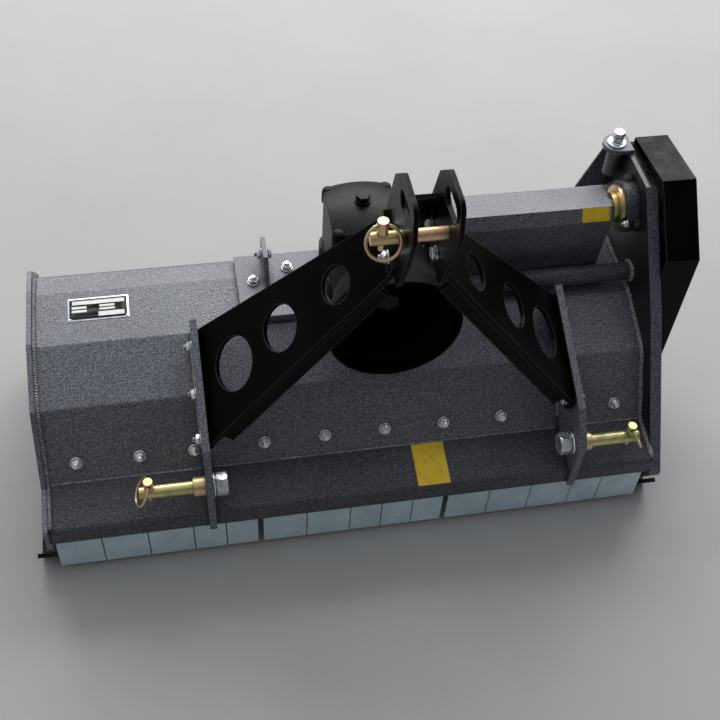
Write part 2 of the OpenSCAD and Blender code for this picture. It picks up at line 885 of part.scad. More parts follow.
module gearbox_base() color(paint) {
    x0 = gear_x - base_left;
    x1 = gear_x + base_right;
    y0 = point_e[0] + bend_r * 0.5;
    y1 = y0 + base_depth;
    lug_h = brace_rise + brace_d;
    difference() {
        union() {
            along_x(x0, x1)
                polygon([[y0, hood_z(y0)], point_f, [y1, hood_z(y1)], [y1, base_top], [y0, base_top]]);
            along_x(x1 - leg_t, x1)
                polygon([
                    [y0, base_top - overrun], [y0, point_e[1] + lug_h * 0.8],
                    [y0 + brace_d, point_e[1] + lug_h * 0.8], [y0 + brace_d * 1.4, base_top - overrun]]);
            along_x(x0 + base_left * 0.21, x0 + base_left * 0.21 + leg_t)
                polygon([
                    [y0 + base_depth * 0.45, base_top - overrun],
                    [y0 + base_depth * 0.6, base_top + lug_h * 0.8],
                    [y1 - leg_t, base_top + lug_h * 0.8], [y1, base_top - overrun]]);
        }
        at_base_bolts()
            bolt_hole(bolt_d, base_top);
        at_jack_bolt()
            bolt_hole(bolt_d, leg_t * 2);
    }
}

// upright bolts in the base, as shares of its width and depth
module at_base_bolts() {
    bolt_x_shares = [0.09, 0.29, 0.29, 0.09];
    bolt_y_shares = [0.6, 0.78, 0.3, 0.28];
    for (i = [0 : len(bolt_x_shares) - 1])
        translate([gear_x - base_left + (base_left + base_right) * bolt_x_shares[i],
            point_e[0] + base_depth * bolt_y_shares[i], base_top])
            children();
}

module at_jack_bolt() {
    translate([gear_x - base_left * 0.79, point_e[0] + base_depth * 0.84, base_top + brace_rise])
        rotate([0, -90, 0])
            children();
}

module gearbox_case() color(gloss) {
    x0 = gear_x - case_left;
    x1 = gear_x + case_right;
    y0 = drive_y - case_front;
    y1 = drive_y + case_back;
    difference() {
        union() {
            intersection() {
                translate([0, 0, base_top])
                    linear_extrude(height = case_top - base_top)
                        round_box(x0, x1, y0, y1, case_r);
                translate([(x0 + x1) / 2, (y0 + y1) / 2, case_top - dome_r])
                    sphere(r = dome_r, $fn = 128);
            }
            rod_y(guard_back, y0 + overrun, gear_x, drive_z, flange_r);
            rod_x(x1 - overrun, x1 + neck_l, [drive_y, drive_z], neck_r);
            for (a = [45 : 90 : 315])
                case_rib(x1, a);
            for (x = [x0 + case_r, x1 - case_r], y = [y0 + case_r, y1 - case_r])
                translate([x, y, base_top])
                    cylinder(h = (case_top - base_top) * 0.22, r = case_r * 1.25);
        }
        rod_y(drive_y - pinion_r - gear_bearing_r(), drive_y + gear_r * 0.7, gear_x, drive_z,
            gear_r + 4 * free_fit);
        rod_y(guard_back - overrun, drive_y, gear_x, drive_z, gear_bearing_r());
        rod_x(gear_x, x1 + neck_l + overrun, [drive_y, drive_z], gear_bearing_r());
        translate([(x0 + x1) / 2, (y0 + y1) / 2, case_top - plug_depth()])
            cylinder(h = plug_depth() + overrun, r = plug_r() + seat_fit);
    }
}

function gear_bearing_r() = input_d * 0.9;
function plug_r() = small_bolt_d;
function plug_depth() = small_bolt_d * 0.8;

module round_box(x0, x1, y0, y1, r) {
    translate([x0 + r, y0])
        square([x1 - x0 - 2 * r, y1 - y0]);
    translate([x0, y0 + r])
        square([x1 - x0, y1 - y0 - 2 * r]);
    for (x = [x0 + r, x1 - r], y = [y0 + r, y1 - r])
        translate([x, y])
            circle(r = r);
}

// stiffening rib between the gearbox and its output neck
module case_rib(x, a) {
    rib = leg_t;
    reach = neck_r * 1.3;
    translate([x - overrun, drive_y, drive_z])
        rotate([a, 0, 0])
            translate([0, 0, -rib / 2])
                linear_extrude(height = rib)
                    polygon([[0, 0], [neck_l * 0.8, 0], [neck_l * 0.8, neck_r], [0, reach]]);
}

module filler_plug() color(gloss) {
    translate([gear_x + (case_right - case_left) / 2, drive_y + (case_back - case_front) / 2, case_top]) {
        translate([0, 0, -plug_depth()])
            cylinder(h = plug_depth() * 2, r = plug_r());
        cylinder(h = plug_depth() * 0.6, r = plug_r() * 1.7);
        translate([0, 0, plug_depth() * 0.6])
            cylinder(h = plug_depth() * 1.5, r = plug_r() * 1.5, $fn = 6);
    }
}

module bearing(r_in, r_out, l) {
    difference() {
        cylinder(h = l, r = r_out);
        translate([0, 0, -overrun])
            cylinder(h = l + 2 * overrun, r = r_in);
    }
}

module gear_bearings() color(steel) {
    r_out = gear_bearing_r() - seat_fit;
    l = input_d * 0.34;
    hub = drive_y - pinion_r - gear_bearing_r();
    for (y = [guard_back + overrun, hub - l])
        translate([gear_x, y, drive_z])
            rotate([-90, 0, 0])
                bearing(input_d / 2 + running_fit, r_out, l);
    for (x = [gear_x + gear_r + gear_r * 0.2, gear_x + case_right + neck_l - l - overrun])
        translate([x, drive_y, drive_z])
            rotate([0, 90, 0])
                bearing(journal_d / 2 + running_fit, r_out, l);
}

// splined input shaft with its bevel gear, turning about Y
module input_shaft() color(steel) {
    gear_face = pinion_r + free_fit;
    gear_back = gear_face + gear_r * 0.4;
    tooth = PI * gear_r / gear_teeth;
    translate([gear_x, drive_y, drive_z])
        rotate([-90, 0, 0]) {
            difference() {
                translate([0, 0, shaft_tip - drive_y])
                    cylinder(h = drive_y - shaft_tip - gear_back + overrun, r = input_d / 2);
                for (i = [0 : spline_count - 1])
                    rotate([0, 0, i * 360 / spline_count])
                        translate([input_d * 0.43, -input_d * 0.1, shaft_tip - drive_y - overrun])
                            cube([input_d, input_d * 0.2, spline_l + overrun]);
            }
            difference() {
                rotate_extrude()
                    polygon([[0, -gear_back], [gear_r * 0.86, -gear_back], [gear_r, -gear_face],
                        [gear_r * 0.66, -gear_face * 0.66 - free_fit], [0, -gear_face * 0.66 - free_fit]]);
                for (i = [0 : gear_teeth - 1])
                    rotate([0, 0, i * 360 / gear_teeth])
                        translate([gear_r * 0.66, 0, -gear_face * 0.66 - free_fit])
                            rotate([0, atan2(gear_face * 0.34, gear_r * 0.34), 0])
                                translate([-overrun, -tooth / 4, -tooth / 2])
                                    cube([gear_r * 0.5, tooth / 2, tooth]);
            }
        }
}

// cross shaft with its pinion, turning about X
module cross_shaft() color(steel) {
    neck_end = gear_x + case_right + neck_l;
    axis = [drive_y, drive_z];
    x0 = gear_x + gear_r * 0.66;
    rod_x(x0, neck_end + overrun, axis, journal_d / 2 * 0.74);
    rod_x(gear_x + gear_r, neck_end + overrun, axis, journal_d / 2);
    rod_x(neck_end + overrun, shaft_end, axis, cross_d / 2);
    translate([x0, drive_y, drive_z])
        rotate([0, 90, 0])
            cylinder(h = gear_r * 0.34, r1 = pinion_r * 0.66, r2 = pinion_r, $fn = 48);
}

module drive_cover() color(paint) {
    top = drive_z + shield_rise;
    y0 = drive_y - shield_front;
    y1 = drive_y + shield_back;
    foot_y0 = y0 + shield_slope * 0.6;
    foot_y1 = point_f[0] + bend_r + shield_flange;
    lift = cover_t + seat_fit;
    line = [
        [foot_y0 - shield_flange, hood_z(foot_y0 - shield_flange) + lift],
        [foot_y0, hood_z(foot_y0) + lift],
        [y0, top - shield_slope], [y0 + shield_slope * 0.6, top], [y1, top],
        [foot_y1 - shield_flange, hood_z(foot_y1 - shield_flange) + lift],
        [foot_y1, hood_z(foot_y1) + lift]];
    along_x(shield_x0, shield_x1)
        polygon(strip(line, -cover_t));
}

module brace_tube() color(paint) {
    difference() {
        rod_x(gear_x + base_right, half_width, brace_point, brace_d / 2);
        rod_x(gear_x + base_right - overrun, half_width + overrun, brace_point, brace_d * 0.4);
    }
}

module bearing_housing() color(paint) {
    axis = [drive_y, drive_z];
    difference() {
        union() {
            rod_x(half_width - housing_l, half_width, axis, housing_r);
            for (a = [60 : 120 : 300])
                rod_x(half_width - housing_l * 0.5, half_width, axis + polar(housing_r, a), bolt_d);
        }
        rod_x(half_width - housing_l - overrun, half_width + overrun, axis, cross_d / 2 + running_fit);
    }
}

module bearing_ring() color(plated) {
    axis = [drive_y, drive_z];
    x1 = half_width - housing_l;
    difference() {
        union() {
            rod_x(x1 - ring_t, x1, axis, ring_r);
            rod_x(x1 - ring_t * 2.2, x1, axis, sleeve_r);
        }
        rod_x(x1 - ring_t * 3, x1 + overrun, axis, cross_d / 2 + free_fit);
    }
}

// outline of the belt cover around both pulleys
function cover_outline() =
    let (d = [drive_y, drive_z], r = [rotor_y, rotor_z], a = drive_pulley_r, b = rotor_pulley_r)
    [d + [a * 1.16, a * 1.07], d + [-a * 0.6, a * 1.22], [r[0] - b * 1.27, d[1] - a * 0.12],
        [r[0] - b * 1.27, r[1] - b * 0.2], r + [-b * 0.66, -b * 1.25], r + [b * 0.66, -b * 1.25],
        r + [b * 1.36, -b * 0.2], d + [a * 1.34, -a * 0.54]];

module belt_cover() color(gloss) {
    difference() {
        along_x(case_x, cover_out)
            polygon(cover_outline());
        along_x(case_x - overrun, cover_out - cover_t)
            polygon(pushed_ring(cover_outline(), cover_t));
    }
}

// plate behind the belts that the cover closes against
module belt_backing() color(paint) {
    along_x(plate_out, case_x)
        difference() {
            intersection() {
                polygon(cover_outline());
                polygon(right_outline());
            }
            polygon(strip(right_front(), -side_t));
            translate([rotor_y, rotor_z])
                circle(r = bearing_r * 1.25 + free_fit);
            translate([drive_y, drive_z])
                circle(r = cross_d * 0.7);
        }
}

// pulley with V grooves, from z = 0 up
module pulley(r, bore) {
    rim = r + belt_h * 0.34;
    floor_r = r - belt_h;
    difference() {
        cylinder(h = pulley_w, r = rim, $fn = 96);
        translate([0, 0, -overrun])
            cylinder(h = pulley_w + 2 * overrun, r = bore);
        for (i = [0 : belt_count - 1])
            translate([0, 0, pulley_w / 2 + belt_offset(i)])
                rotate_extrude($fn = 96)
                    polygon([
                        [floor_r, -groove_w(floor_r - r)], [rim + overrun, -groove_w(rim + overrun - r)],
                        [rim + overrun, groove_w(rim + overrun - r)], [floor_r, groove_w(floor_r - r)]]);
    }
}

function belt_offset(i) = (i - (belt_count - 1) / 2) * belt_pitch;
// half width of a groove or a belt at height h above the pitch line
function belt_half(h) = belt_w / 2 - (belt_h * 0.3 - h) * 0.33;
function groove_w(h) = belt_half(h) + free_fit;

module drive_pulley() color(steel) {
    translate([pulley_in, drive_y, drive_z])
        rotate([0, 90, 0])
            pulley(drive_pulley_r, cross_d / 2 + seat_fit);
}

module driven_pulley() color(steel) {
    translate([pulley_in, rotor_y, rotor_z])
        rotate([0, 90, 0])
            pulley(rotor_pulley_r, stub_d / 2 + seat_fit);
}

// belts laid round both pulleys, worked out in the plane of the drive
module drive_belts() color(rubber) {
    a = [drive_y, drive_z];
    b = [rotor_y, rotor_z];
    way = atan2(b[1] - a[1], b[0] - a[0]);
    part = acos((drive_pulley_r - rotor_pulley_r) / norm(b - a));
    for (i = [0 : belt_count - 1])
        translate([belt_mid + belt_offset(i), 0, 0])
            rotate([90, 0, 90]) {
                translate(a)
                    rotate([0, 0, way + part])
                        belt_arc(drive_pulley_r, 360 - 2 * part);
                translate(b)
                    rotate([0, 0, way - part])
                        belt_arc(rotor_pulley_r, 2 * part);
                for (s = [-1, 1])
                    belt_run(
                        a + polar(drive_pulley_r, way + s * part),
                        b + polar(rotor_pulley_r, way + s * part), way + s * part);
            }
}

module belt_section() {
    high = belt_h * 0.3;
    low = -belt_h * 0.7;
    polygon([
        [low, -belt_half(low)], [high, -belt_half(high)], [high, belt_half(high)], [low, belt_half(low)]]);
}

module belt_arc(r, sweep) {
    rotate_extrude(angle = sweep, $fn = 96)
        translate([r, 0])
            belt_section();
}

// straight run from p to q, its outer side facing the direction n
module belt_run(p, q, n) {
    d = unit(q - p);
    lap = free_fit / 2;
    translate(p - d * lap)
        multmatrix([[cos(n), 0, d[0], 0], [sin(n), 0, d[1], 0], [0, 1, 0, 0], [0, 0, 0, 1]])
            linear_extrude(height = norm(q - p) + 2 * lap)
                belt_section();
}

// plate, tube and gusset that hold the tension bolt on the right plate
module tension_bracket() color(paint) {
    gusset_y = tension_y + tension_r * 1.25;
    gusset_h = right_top - drive_z + housing_r;
    difference() {
        union() {
            translate([0, 0, right_top])
                linear_extrude(height = tension_t) {
                    translate([tension_x, tension_y])
                        circle(r = tension_r);
                    translate([tension_x, tension_y - tension_r])
                        square([plate_out - tension_x, tension_r * 2]);
                }
            translate([tension_x, tension_y, right_top - tension_tube_l])
                cylinder(h = tension_tube_l + overrun, r = bolt_d * 1.2);
        }
        translate([tension_x, tension_y, right_top - tension_tube_l - overrun])
            cylinder(h = tension_tube_l + tension_t + 2 * overrun, r = tension_bolt_r() + bolt_fit);
    }
    translate([0, gusset_y + cover_t, 0])
        rotate([90, 0, 0])
            linear_extrude(height = cover_t)
                polygon([[half_width, right_top - gusset_h], [half_width, right_top],
                    [half_width - tension_in * 0.7, right_top],
                    [half_width - gusset_h * 0.5, right_top - gusset_h]]);
}

function tension_bolt_r() = bolt_d * 0.66;

module tension_bolt() {
    d = tension_bolt_r() * 2;
    translate([tension_x, tension_y, right_top + tension_t]) {
        nut_stack(d, 0);
        translate([0, 0, d * 1.12])
            cylinder(h = d * 0.6, r = d * 0.95, $fn = 6);
        translate([0, 0, -tension_tube_l])
            cylinder(h = tension_tube_l + d * 1.5, r = tension_bolt_r());
    }
}

module rotor_bearing(l) {
    axis = [rotor_y, rotor_z];
    difference() {
        union() {
            rod_x(plate_out, plate_out + l * 0.5, axis, bearing_r * 1.25);
            rod_x(plate_out, plate_out + l, axis, bearing_r);
        }
        rod_x(plate_out - overrun, plate_out + l + overrun, axis, stub_d / 2 + running_fit);
    }
}

module rotor_bearings() color(gloss) {
    rotor_bearing(bearing_l);
    mirror([1, 0, 0])
        rotor_bearing(left_bearing_l);
}

// drum with shaft ends, hammer lugs and hammer bolts
module rotor_drum() color(steel) {
    axis = [rotor_y, rotor_z];
    drum_end = half_width - drum_r / 2;
    rod_x(-drum_end, drum_end, axis, drum_r);
    rod_x(-plate_out - left_bearing_l - overrun, shaft_end, axis, stub_d / 2);
    for (row = [0 : 3], i = [0 : row_hammers - 1])
        at_hammer(row, i) {
            both_ends()
                along_x(lug_in, lug_in + lug_t)
                    lug_outline();
            rod_x(-lug_in - lug_t - hammer_bolt_d * 0.5, lug_in + lug_t + hammer_bolt_d * 0.5, [pivot_r, 0],
                hammer_bolt_d / 2);
        }
}

module lug_outline() {
    root = sqrt(drum_r * drum_r - eye_r * eye_r) - overrun;
    translate([root, -eye_r])
        square([pivot_r - root, eye_r * 2]);
    translate([pivot_r, 0])
        circle(r = eye_r);
}

// frame of one hammer place: Y points away from the rotor axis
module at_hammer(row, i) {
    translate([hammer_x(row, i), rotor_y, rotor_z])
        rotate([row_turns[row], 0, 0])
            children();
}

// one row of hammers on one line of pivots, hanging or resting as gravity leaves them
module hammer_row(row) {
    color(steel)
        for (i = [0 : row_hammers - 1])
            at_hammer(row, i)
                translate([0, pivot_r, 0])
                    rotate([row_hangs[row], 0, 0])
                        hammer();
}

module hammer() {
    l = tip_r - pivot_r;
    h = hammer_t / 2;
    neck = eye_r + lug_t * 0.6;
    difference() {
        union() {
            rod_x(-eye_w / 2, eye_w / 2, [0, 0], eye_r);
            along_x(-eye_w / 2, eye_w / 2)
                polygon([[0, -h * 0.8], [l * 0.7, -h * 0.8], [l * 0.7, h * 0.8], [0, h * 0.8]]);
            along_x(-hammer_w / 2, hammer_w / 2)
                polygon([
                    [neck, -h * 0.7], [l * 0.62, -h], [l, -h], [l, h * 0.5], [l * 0.9, h], [l * 0.62, h],
                    [neck, h * 0.7]]);
        }
        rod_x(-hammer_w, hammer_w, [0, 0], hammer_bolt_d / 2 + running_fit);
    }
}

module flails_bottom() hammer_row(0);
module flails_rear() hammer_row(1);
module flails_top() hammer_row(2);
module flails_front() hammer_row(3);

module flap_rod_bar() color(zinc) {
    rod_x(-half_width, half_width, flap_rod, flap_rod_d / 2);
}

// one hanging flap with its eye round the rod
module flap(i) {
    x = flap_left(i);
    w = flap_width(i);
    eye = flap_rod_d / 2 + flap_t * 0.8;
    color(flap_zinc)
        difference() {
            union() {
                rod_x(x, x + w, flap_rod, eye);
                translate([x, flap_rod[0] - flap_t / 2, flap_rod[1] - flap_l])
                    cube([w, flap_t, flap_l]);
            }
            rod_x(x - overrun, x + w + overrun, flap_rod, flap_rod_d / 2 + running_fit);
        }
}

module counter_bar() color(steel) {
    p = point_a + polar(bolt_up, front_slope);
    difference() {
        translate([0, p[0], p[1]])
            rotate([front_slope, 0, 0])
                translate([-half_width, -bar_h / 2, -sheet_t - bar_t])
                    cube([inner_width, bar_h, bar_t]);
        at_bar_bolts()
            bolt_hole(bolt_d, sheet_t + bar_t);
    }
}

module counter_bolts() color(zinc) {
    at_bar_bolts()
        through_bolt(bolt_d, sheet_t + bar_t, bolt_d * 0.6);
}

module frame_bolts() color(zinc) {
    both_hitch_sides() {
        at_foot_bolts()
            through_bolt(bolt_d, bracket_t + leg_t, bolt_d * 0.4);
        at_head_bolts()
            through_bolt(bolt_d, ear_t + leg_t, bolt_d * 0.4);
    }
    at_base_bolts() {
        nut_stack(bolt_d, bolt_d * 0.4);
        translate([0, 0, -sheet_t])
            cylinder(h = sheet_t + overrun, r = bolt_d / 2);
    }
    at_jack_bolt()
        through_bolt(bolt_d, leg_t, bolt_d * 0.4);
    pin_nuts();
    tension_bolt();
}

// bell shaped guard round the splined shaft
module pto_guard() color(rubber) {
    translate([gear_x, guard_back, drive_z])
        rotate([90, 0, 0])
            difference() {
                rotate_extrude($fn = 96)
                    polygon(guard_line(0));
                rotate_extrude($fn = 96)
                    polygon(guard_line(guard_t));
                translate([0, 0, -overrun])
                    cylinder(h = guard_t + 2 * overrun, r = input_d * 0.75);
            }
}

// half section of the guard, set in by t at the wall
function guard_line(t) =
    let (l = guard_l, r = guard_r, c = t > 0 ? overrun : 0)
    [[0, t], [flange_r - t, t], [r * 0.74 - t, l * 0.12 + t], [r * 0.8 - t, l * 0.5],
        [r - t, l * 0.86], [r - t, l + c], [0, l + c]];

// tube with sunk end discs, each with an axle end and a drain hole
module rear_roller() color(gloss) {
    axis = [roller_y, roller_z];
    x1 = half_width - arm_t - 2 * free_fit;
    bore = roller_r - roller_wall;
    disc_x = x1 - axle_d;
    drain = axis + [0, (bore + axle_d / 2) / 2];
    difference() {
        rod_x(-x1, x1, axis, roller_r);
        rod_x(-x1 - overrun, x1 + overrun, axis, bore);
    }
    both_ends() {
        difference() {
            rod_x(disc_x - arm_t, disc_x, axis, bore + roller_wall / 2);
            rod_x(disc_x - arm_t - overrun, disc_x + overrun, drain, bolt_d / 2);
        }
        rod_x(disc_x - overrun, half_width - free_fit, axis, axle_d / 2);
    }
}

module roller_arms() color(paint) {
    both_ends()
        along_x(half_width - arm_t, half_width)
            difference() {
                union() {
                    translate([roller_y, roller_z])
                        circle(r = axle_d);
                    polygon([[roller_y - axle_d, roller_z], [roller_y + axle_d, roller_z],
                        [point_i[0] - sheet_t * 2, point_i[1] - tail_fall * 0.2],
                        [point_i[0] - sheet_t * 2 - axle_d * 1.6, point_i[1] - tail_fall * 0.2]]);
                }
                translate([roller_y, roller_z])
                    circle(r = axle_d / 2 + running_fit);
                for (s = [0.5, 0.8])
                    translate(mid([roller_y, roller_z], [point_i[0] - axle_d * 1.1, point_i[1]], s))
                        circle(r = bolt_d / 2);
            }
}

// top link pin, free to turn in the ears
module top_link_pin() color(plated) {
    head = top_pin_d * 0.45;
    x0 = hitch_x - ear_out - linch_space();
    x1 = hitch_x + ear_out + free_fit;
    difference() {
        union() {
            rod_x(x0, x1 + head, mast_pin, top_pin_d / 2);
            rod_x(x1, x1 + head, mast_pin, top_pin_d * 0.8);
        }
        translate([top_linch_x(), mast_pin[0], mast_pin[1] - top_pin_d])
            cylinder(h = top_pin_d * 2, r = linch_d / 2 + running_fit);
    }
}

function linch_space() = linch_ring_r + linch_end * 1.3;
function top_linch_x() = hitch_x - ear_out - linch_space() + linch_end;
function linch_head_z(pin_d) = pin_d / 2 + free_fit / 2;
function linch_eye_z() = linch_ring_r;

// linch pin standing through a pin whose axis is at the origin, its ring hole turned by a
module linch(pin_d, a) {
    head_r = linch_d * 0.85;
    low = linch_head_z(pin_d);
    high = linch_eye_z() + linch_wire_d * 1.6;
    sag = head_r * head_r / (2 * linch_ring_r);
    difference() {
        union() {
            translate([0, 0, -linch_ring_r + linch_wire_d * 0.9])
                cylinder(h = linch_ring_r + high - linch_wire_d * 0.9, r = linch_d / 2);
            translate([0, 0, low])
                cylinder(h = high - low, r = head_r);
        }
        translate([0, 0, linch_eye_z()])
            rotate([0, 0, a])
                rotate([0, 90, 0])
                    translate([0, 0, -linch_d])
                        cylinder(h = linch_d * 2, r = linch_wire_d / 2 + sag + free_fit);
    }
}

// ring through the head of a linch pin, hanging from the eye at the origin
module linch_ring() {
    translate([0, 0, -linch_ring_r])
        rotate([90, 0, 0])
            rotate_extrude($fn = 48)
                translate([linch_ring_r, 0])
                    circle(r = linch_wire_d / 2, $fn = 24);
}

module top_linch_pin() color(plated) {
    translate([top_linch_x(), mast_pin[0], mast_pin[1]])
        linch(top_pin_d, 0);
}

module top_linch_ring() color(plated) {
    rest = asin((top_pin_d / 2 + linch_wire_d / 2 + free_fit) / linch_eye_z());
    translate([top_linch_x(), mast_pin[0], mast_pin[1] + linch_eye_z()])
        rotate([-rest, 0, 0])
            linch_ring();
}

function lower_linch_x() = lower_span / 2 + lower_pin_l - linch_end;

module lower_linch(s) {
    color(plated)
        translate([hitch_x + s * lower_linch_x(), lower_pin_y, lower_pin_z])
            linch(lower_pin_d, 90);
}

// the ring leans outward far enough to pass the end of the pin
module lower_linch_ring(s) {
    lean = asin((linch_end + linch_wire_d + free_fit) / (linch_ring_r * 1.8));
    color(plated)
        translate([hitch_x + s * lower_linch_x(), lower_pin_y, lower_pin_z + linch_eye_z()])
            rotate([0, -s * lean, 0])
                rotate([0, 0, 90])
                    linch_ring();
}

module left_linch_pin() lower_linch(-1);
module left_linch_ring() lower_linch_ring(-1);
module right_linch_pin() lower_linch(1);
module right_linch_ring() lower_linch_ring(1);

flap_names = [for (i = [1 : flap_count]) str("flap_", i < 10 ? "0" : "", i)];

translate(shift) {
    hood_shell();
    front_beam();
    left_side_plate();
    right_side_plate();
    skids();
    hitch_brackets();
    mast_legs();
    mast_ears();
    lower_pins();
    gearbox_base();
    gearbox_case();
    filler_plug();
    gear_bearings();
    input_shaft();
    cross_shaft();
    drive_cover();
    brace_tube();
    bearing_housing();
    bearing_ring();
    belt_cover();
    belt_backing();
    drive_pulley();
    driven_pulley();
    drive_belts();
    tension_bracket();
    rotor_bearings();
    rotor_drum();
    flails_bottom();
    flails_rear();
    flails_top();
    flails_front();
    flap_rod_bar();  // flap_rod
    counter_bar();
    counter_bolts();
    frame_bolts();
    pto_guard();
    rear_roller();
    roller_arms();
    top_link_pin();
    top_linch_pin();
    top_linch_ring();
    left_linch_pin();
    left_linch_ring();
    right_linch_pin();
    right_linch_ring();
    for (i = [0 : flap_count - 1])
        flap(i);
}
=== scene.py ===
import math

import bpy
import numpy as np
from mathutils import Matrix, Vector


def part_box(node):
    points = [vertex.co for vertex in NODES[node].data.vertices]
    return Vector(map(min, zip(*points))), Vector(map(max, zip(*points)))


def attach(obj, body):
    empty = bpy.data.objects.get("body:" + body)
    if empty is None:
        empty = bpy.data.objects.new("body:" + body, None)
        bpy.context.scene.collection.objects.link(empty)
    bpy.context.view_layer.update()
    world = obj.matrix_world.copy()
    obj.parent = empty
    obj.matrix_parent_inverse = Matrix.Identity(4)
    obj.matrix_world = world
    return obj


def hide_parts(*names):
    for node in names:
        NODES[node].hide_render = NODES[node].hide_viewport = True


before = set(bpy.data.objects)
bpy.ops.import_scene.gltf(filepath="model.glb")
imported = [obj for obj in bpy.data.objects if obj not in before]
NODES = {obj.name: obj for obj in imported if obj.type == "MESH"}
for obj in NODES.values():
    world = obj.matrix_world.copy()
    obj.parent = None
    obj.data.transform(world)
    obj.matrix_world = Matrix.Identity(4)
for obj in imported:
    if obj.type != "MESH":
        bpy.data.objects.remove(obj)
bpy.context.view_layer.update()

# Sizes in millimetres of the machine: X from the middle of the hood, Y from the lip, Z from the ground.
# SHIFT takes them to the shared frame.
SHIFT = np.array([-24.0, -254.745, 0.0])
# Half of the hood's width, and the sections of hood and shelf in Y and Z, from the front to the rear.
HALF_WIDTH = 525.0
HOOD = np.array([(83, 161), (153, 271), (257, 313), (370, 321), (416, 318), (466, 260), (474, 200)], float)
SHELF = np.array([(0, 142), (83, 161)], float)
# Middle of the hitch in X, the brackets' distance from it, and half of their thickness.
HITCH, BRACKET, BRACKET_HALF = 58.0, 315.5, 6.0
# Axis of the gearbox in X and Z.
GEARBOX = (54.0, 440.0)
# Diameters of the frame's bolts and of the small ones.
BOLT, SMALL_BOLT = 10.0, 7.0
LEFT, RIGHT, UP = (-1.0, 0.0, 0.0), (1.0, 0.0, 0.0), (0.0, 0.0, 1.0)


def place(points):
    """Machine millimetres to metres of the shared frame."""
    return (np.asarray(points, float) + SHIFT) / 1000.0


# Camera


def aim_camera():
    """A camera by its eye and its three axes, with the lens that the photograph's perspective gives."""
    right = Vector((0.9834, -0.1743, 0.0515))
    up = Vector((0.1007, 0.7588, 0.6435))
    back = right.cross(up).normalized()
    up = back.cross(right).normalized()
    eye = Vector(place((-264.9, -991.9, 1714.2)))
    data = bpy.data.cameras.new("camera")
    data.sensor_width = 36.0
    data.lens = 54.55
    data.clip_start, data.clip_end = 0.05, 60.0
    camera = bpy.data.objects.new("camera", data)
    turn = Matrix((right.normalized(), up, back)).transposed().to_4x4()
    camera.matrix_world = Matrix.Translation(eye) @ turn
    bpy.context.scene.collection.objects.link(camera)
    bpy.context.scene.camera = camera


# Materials


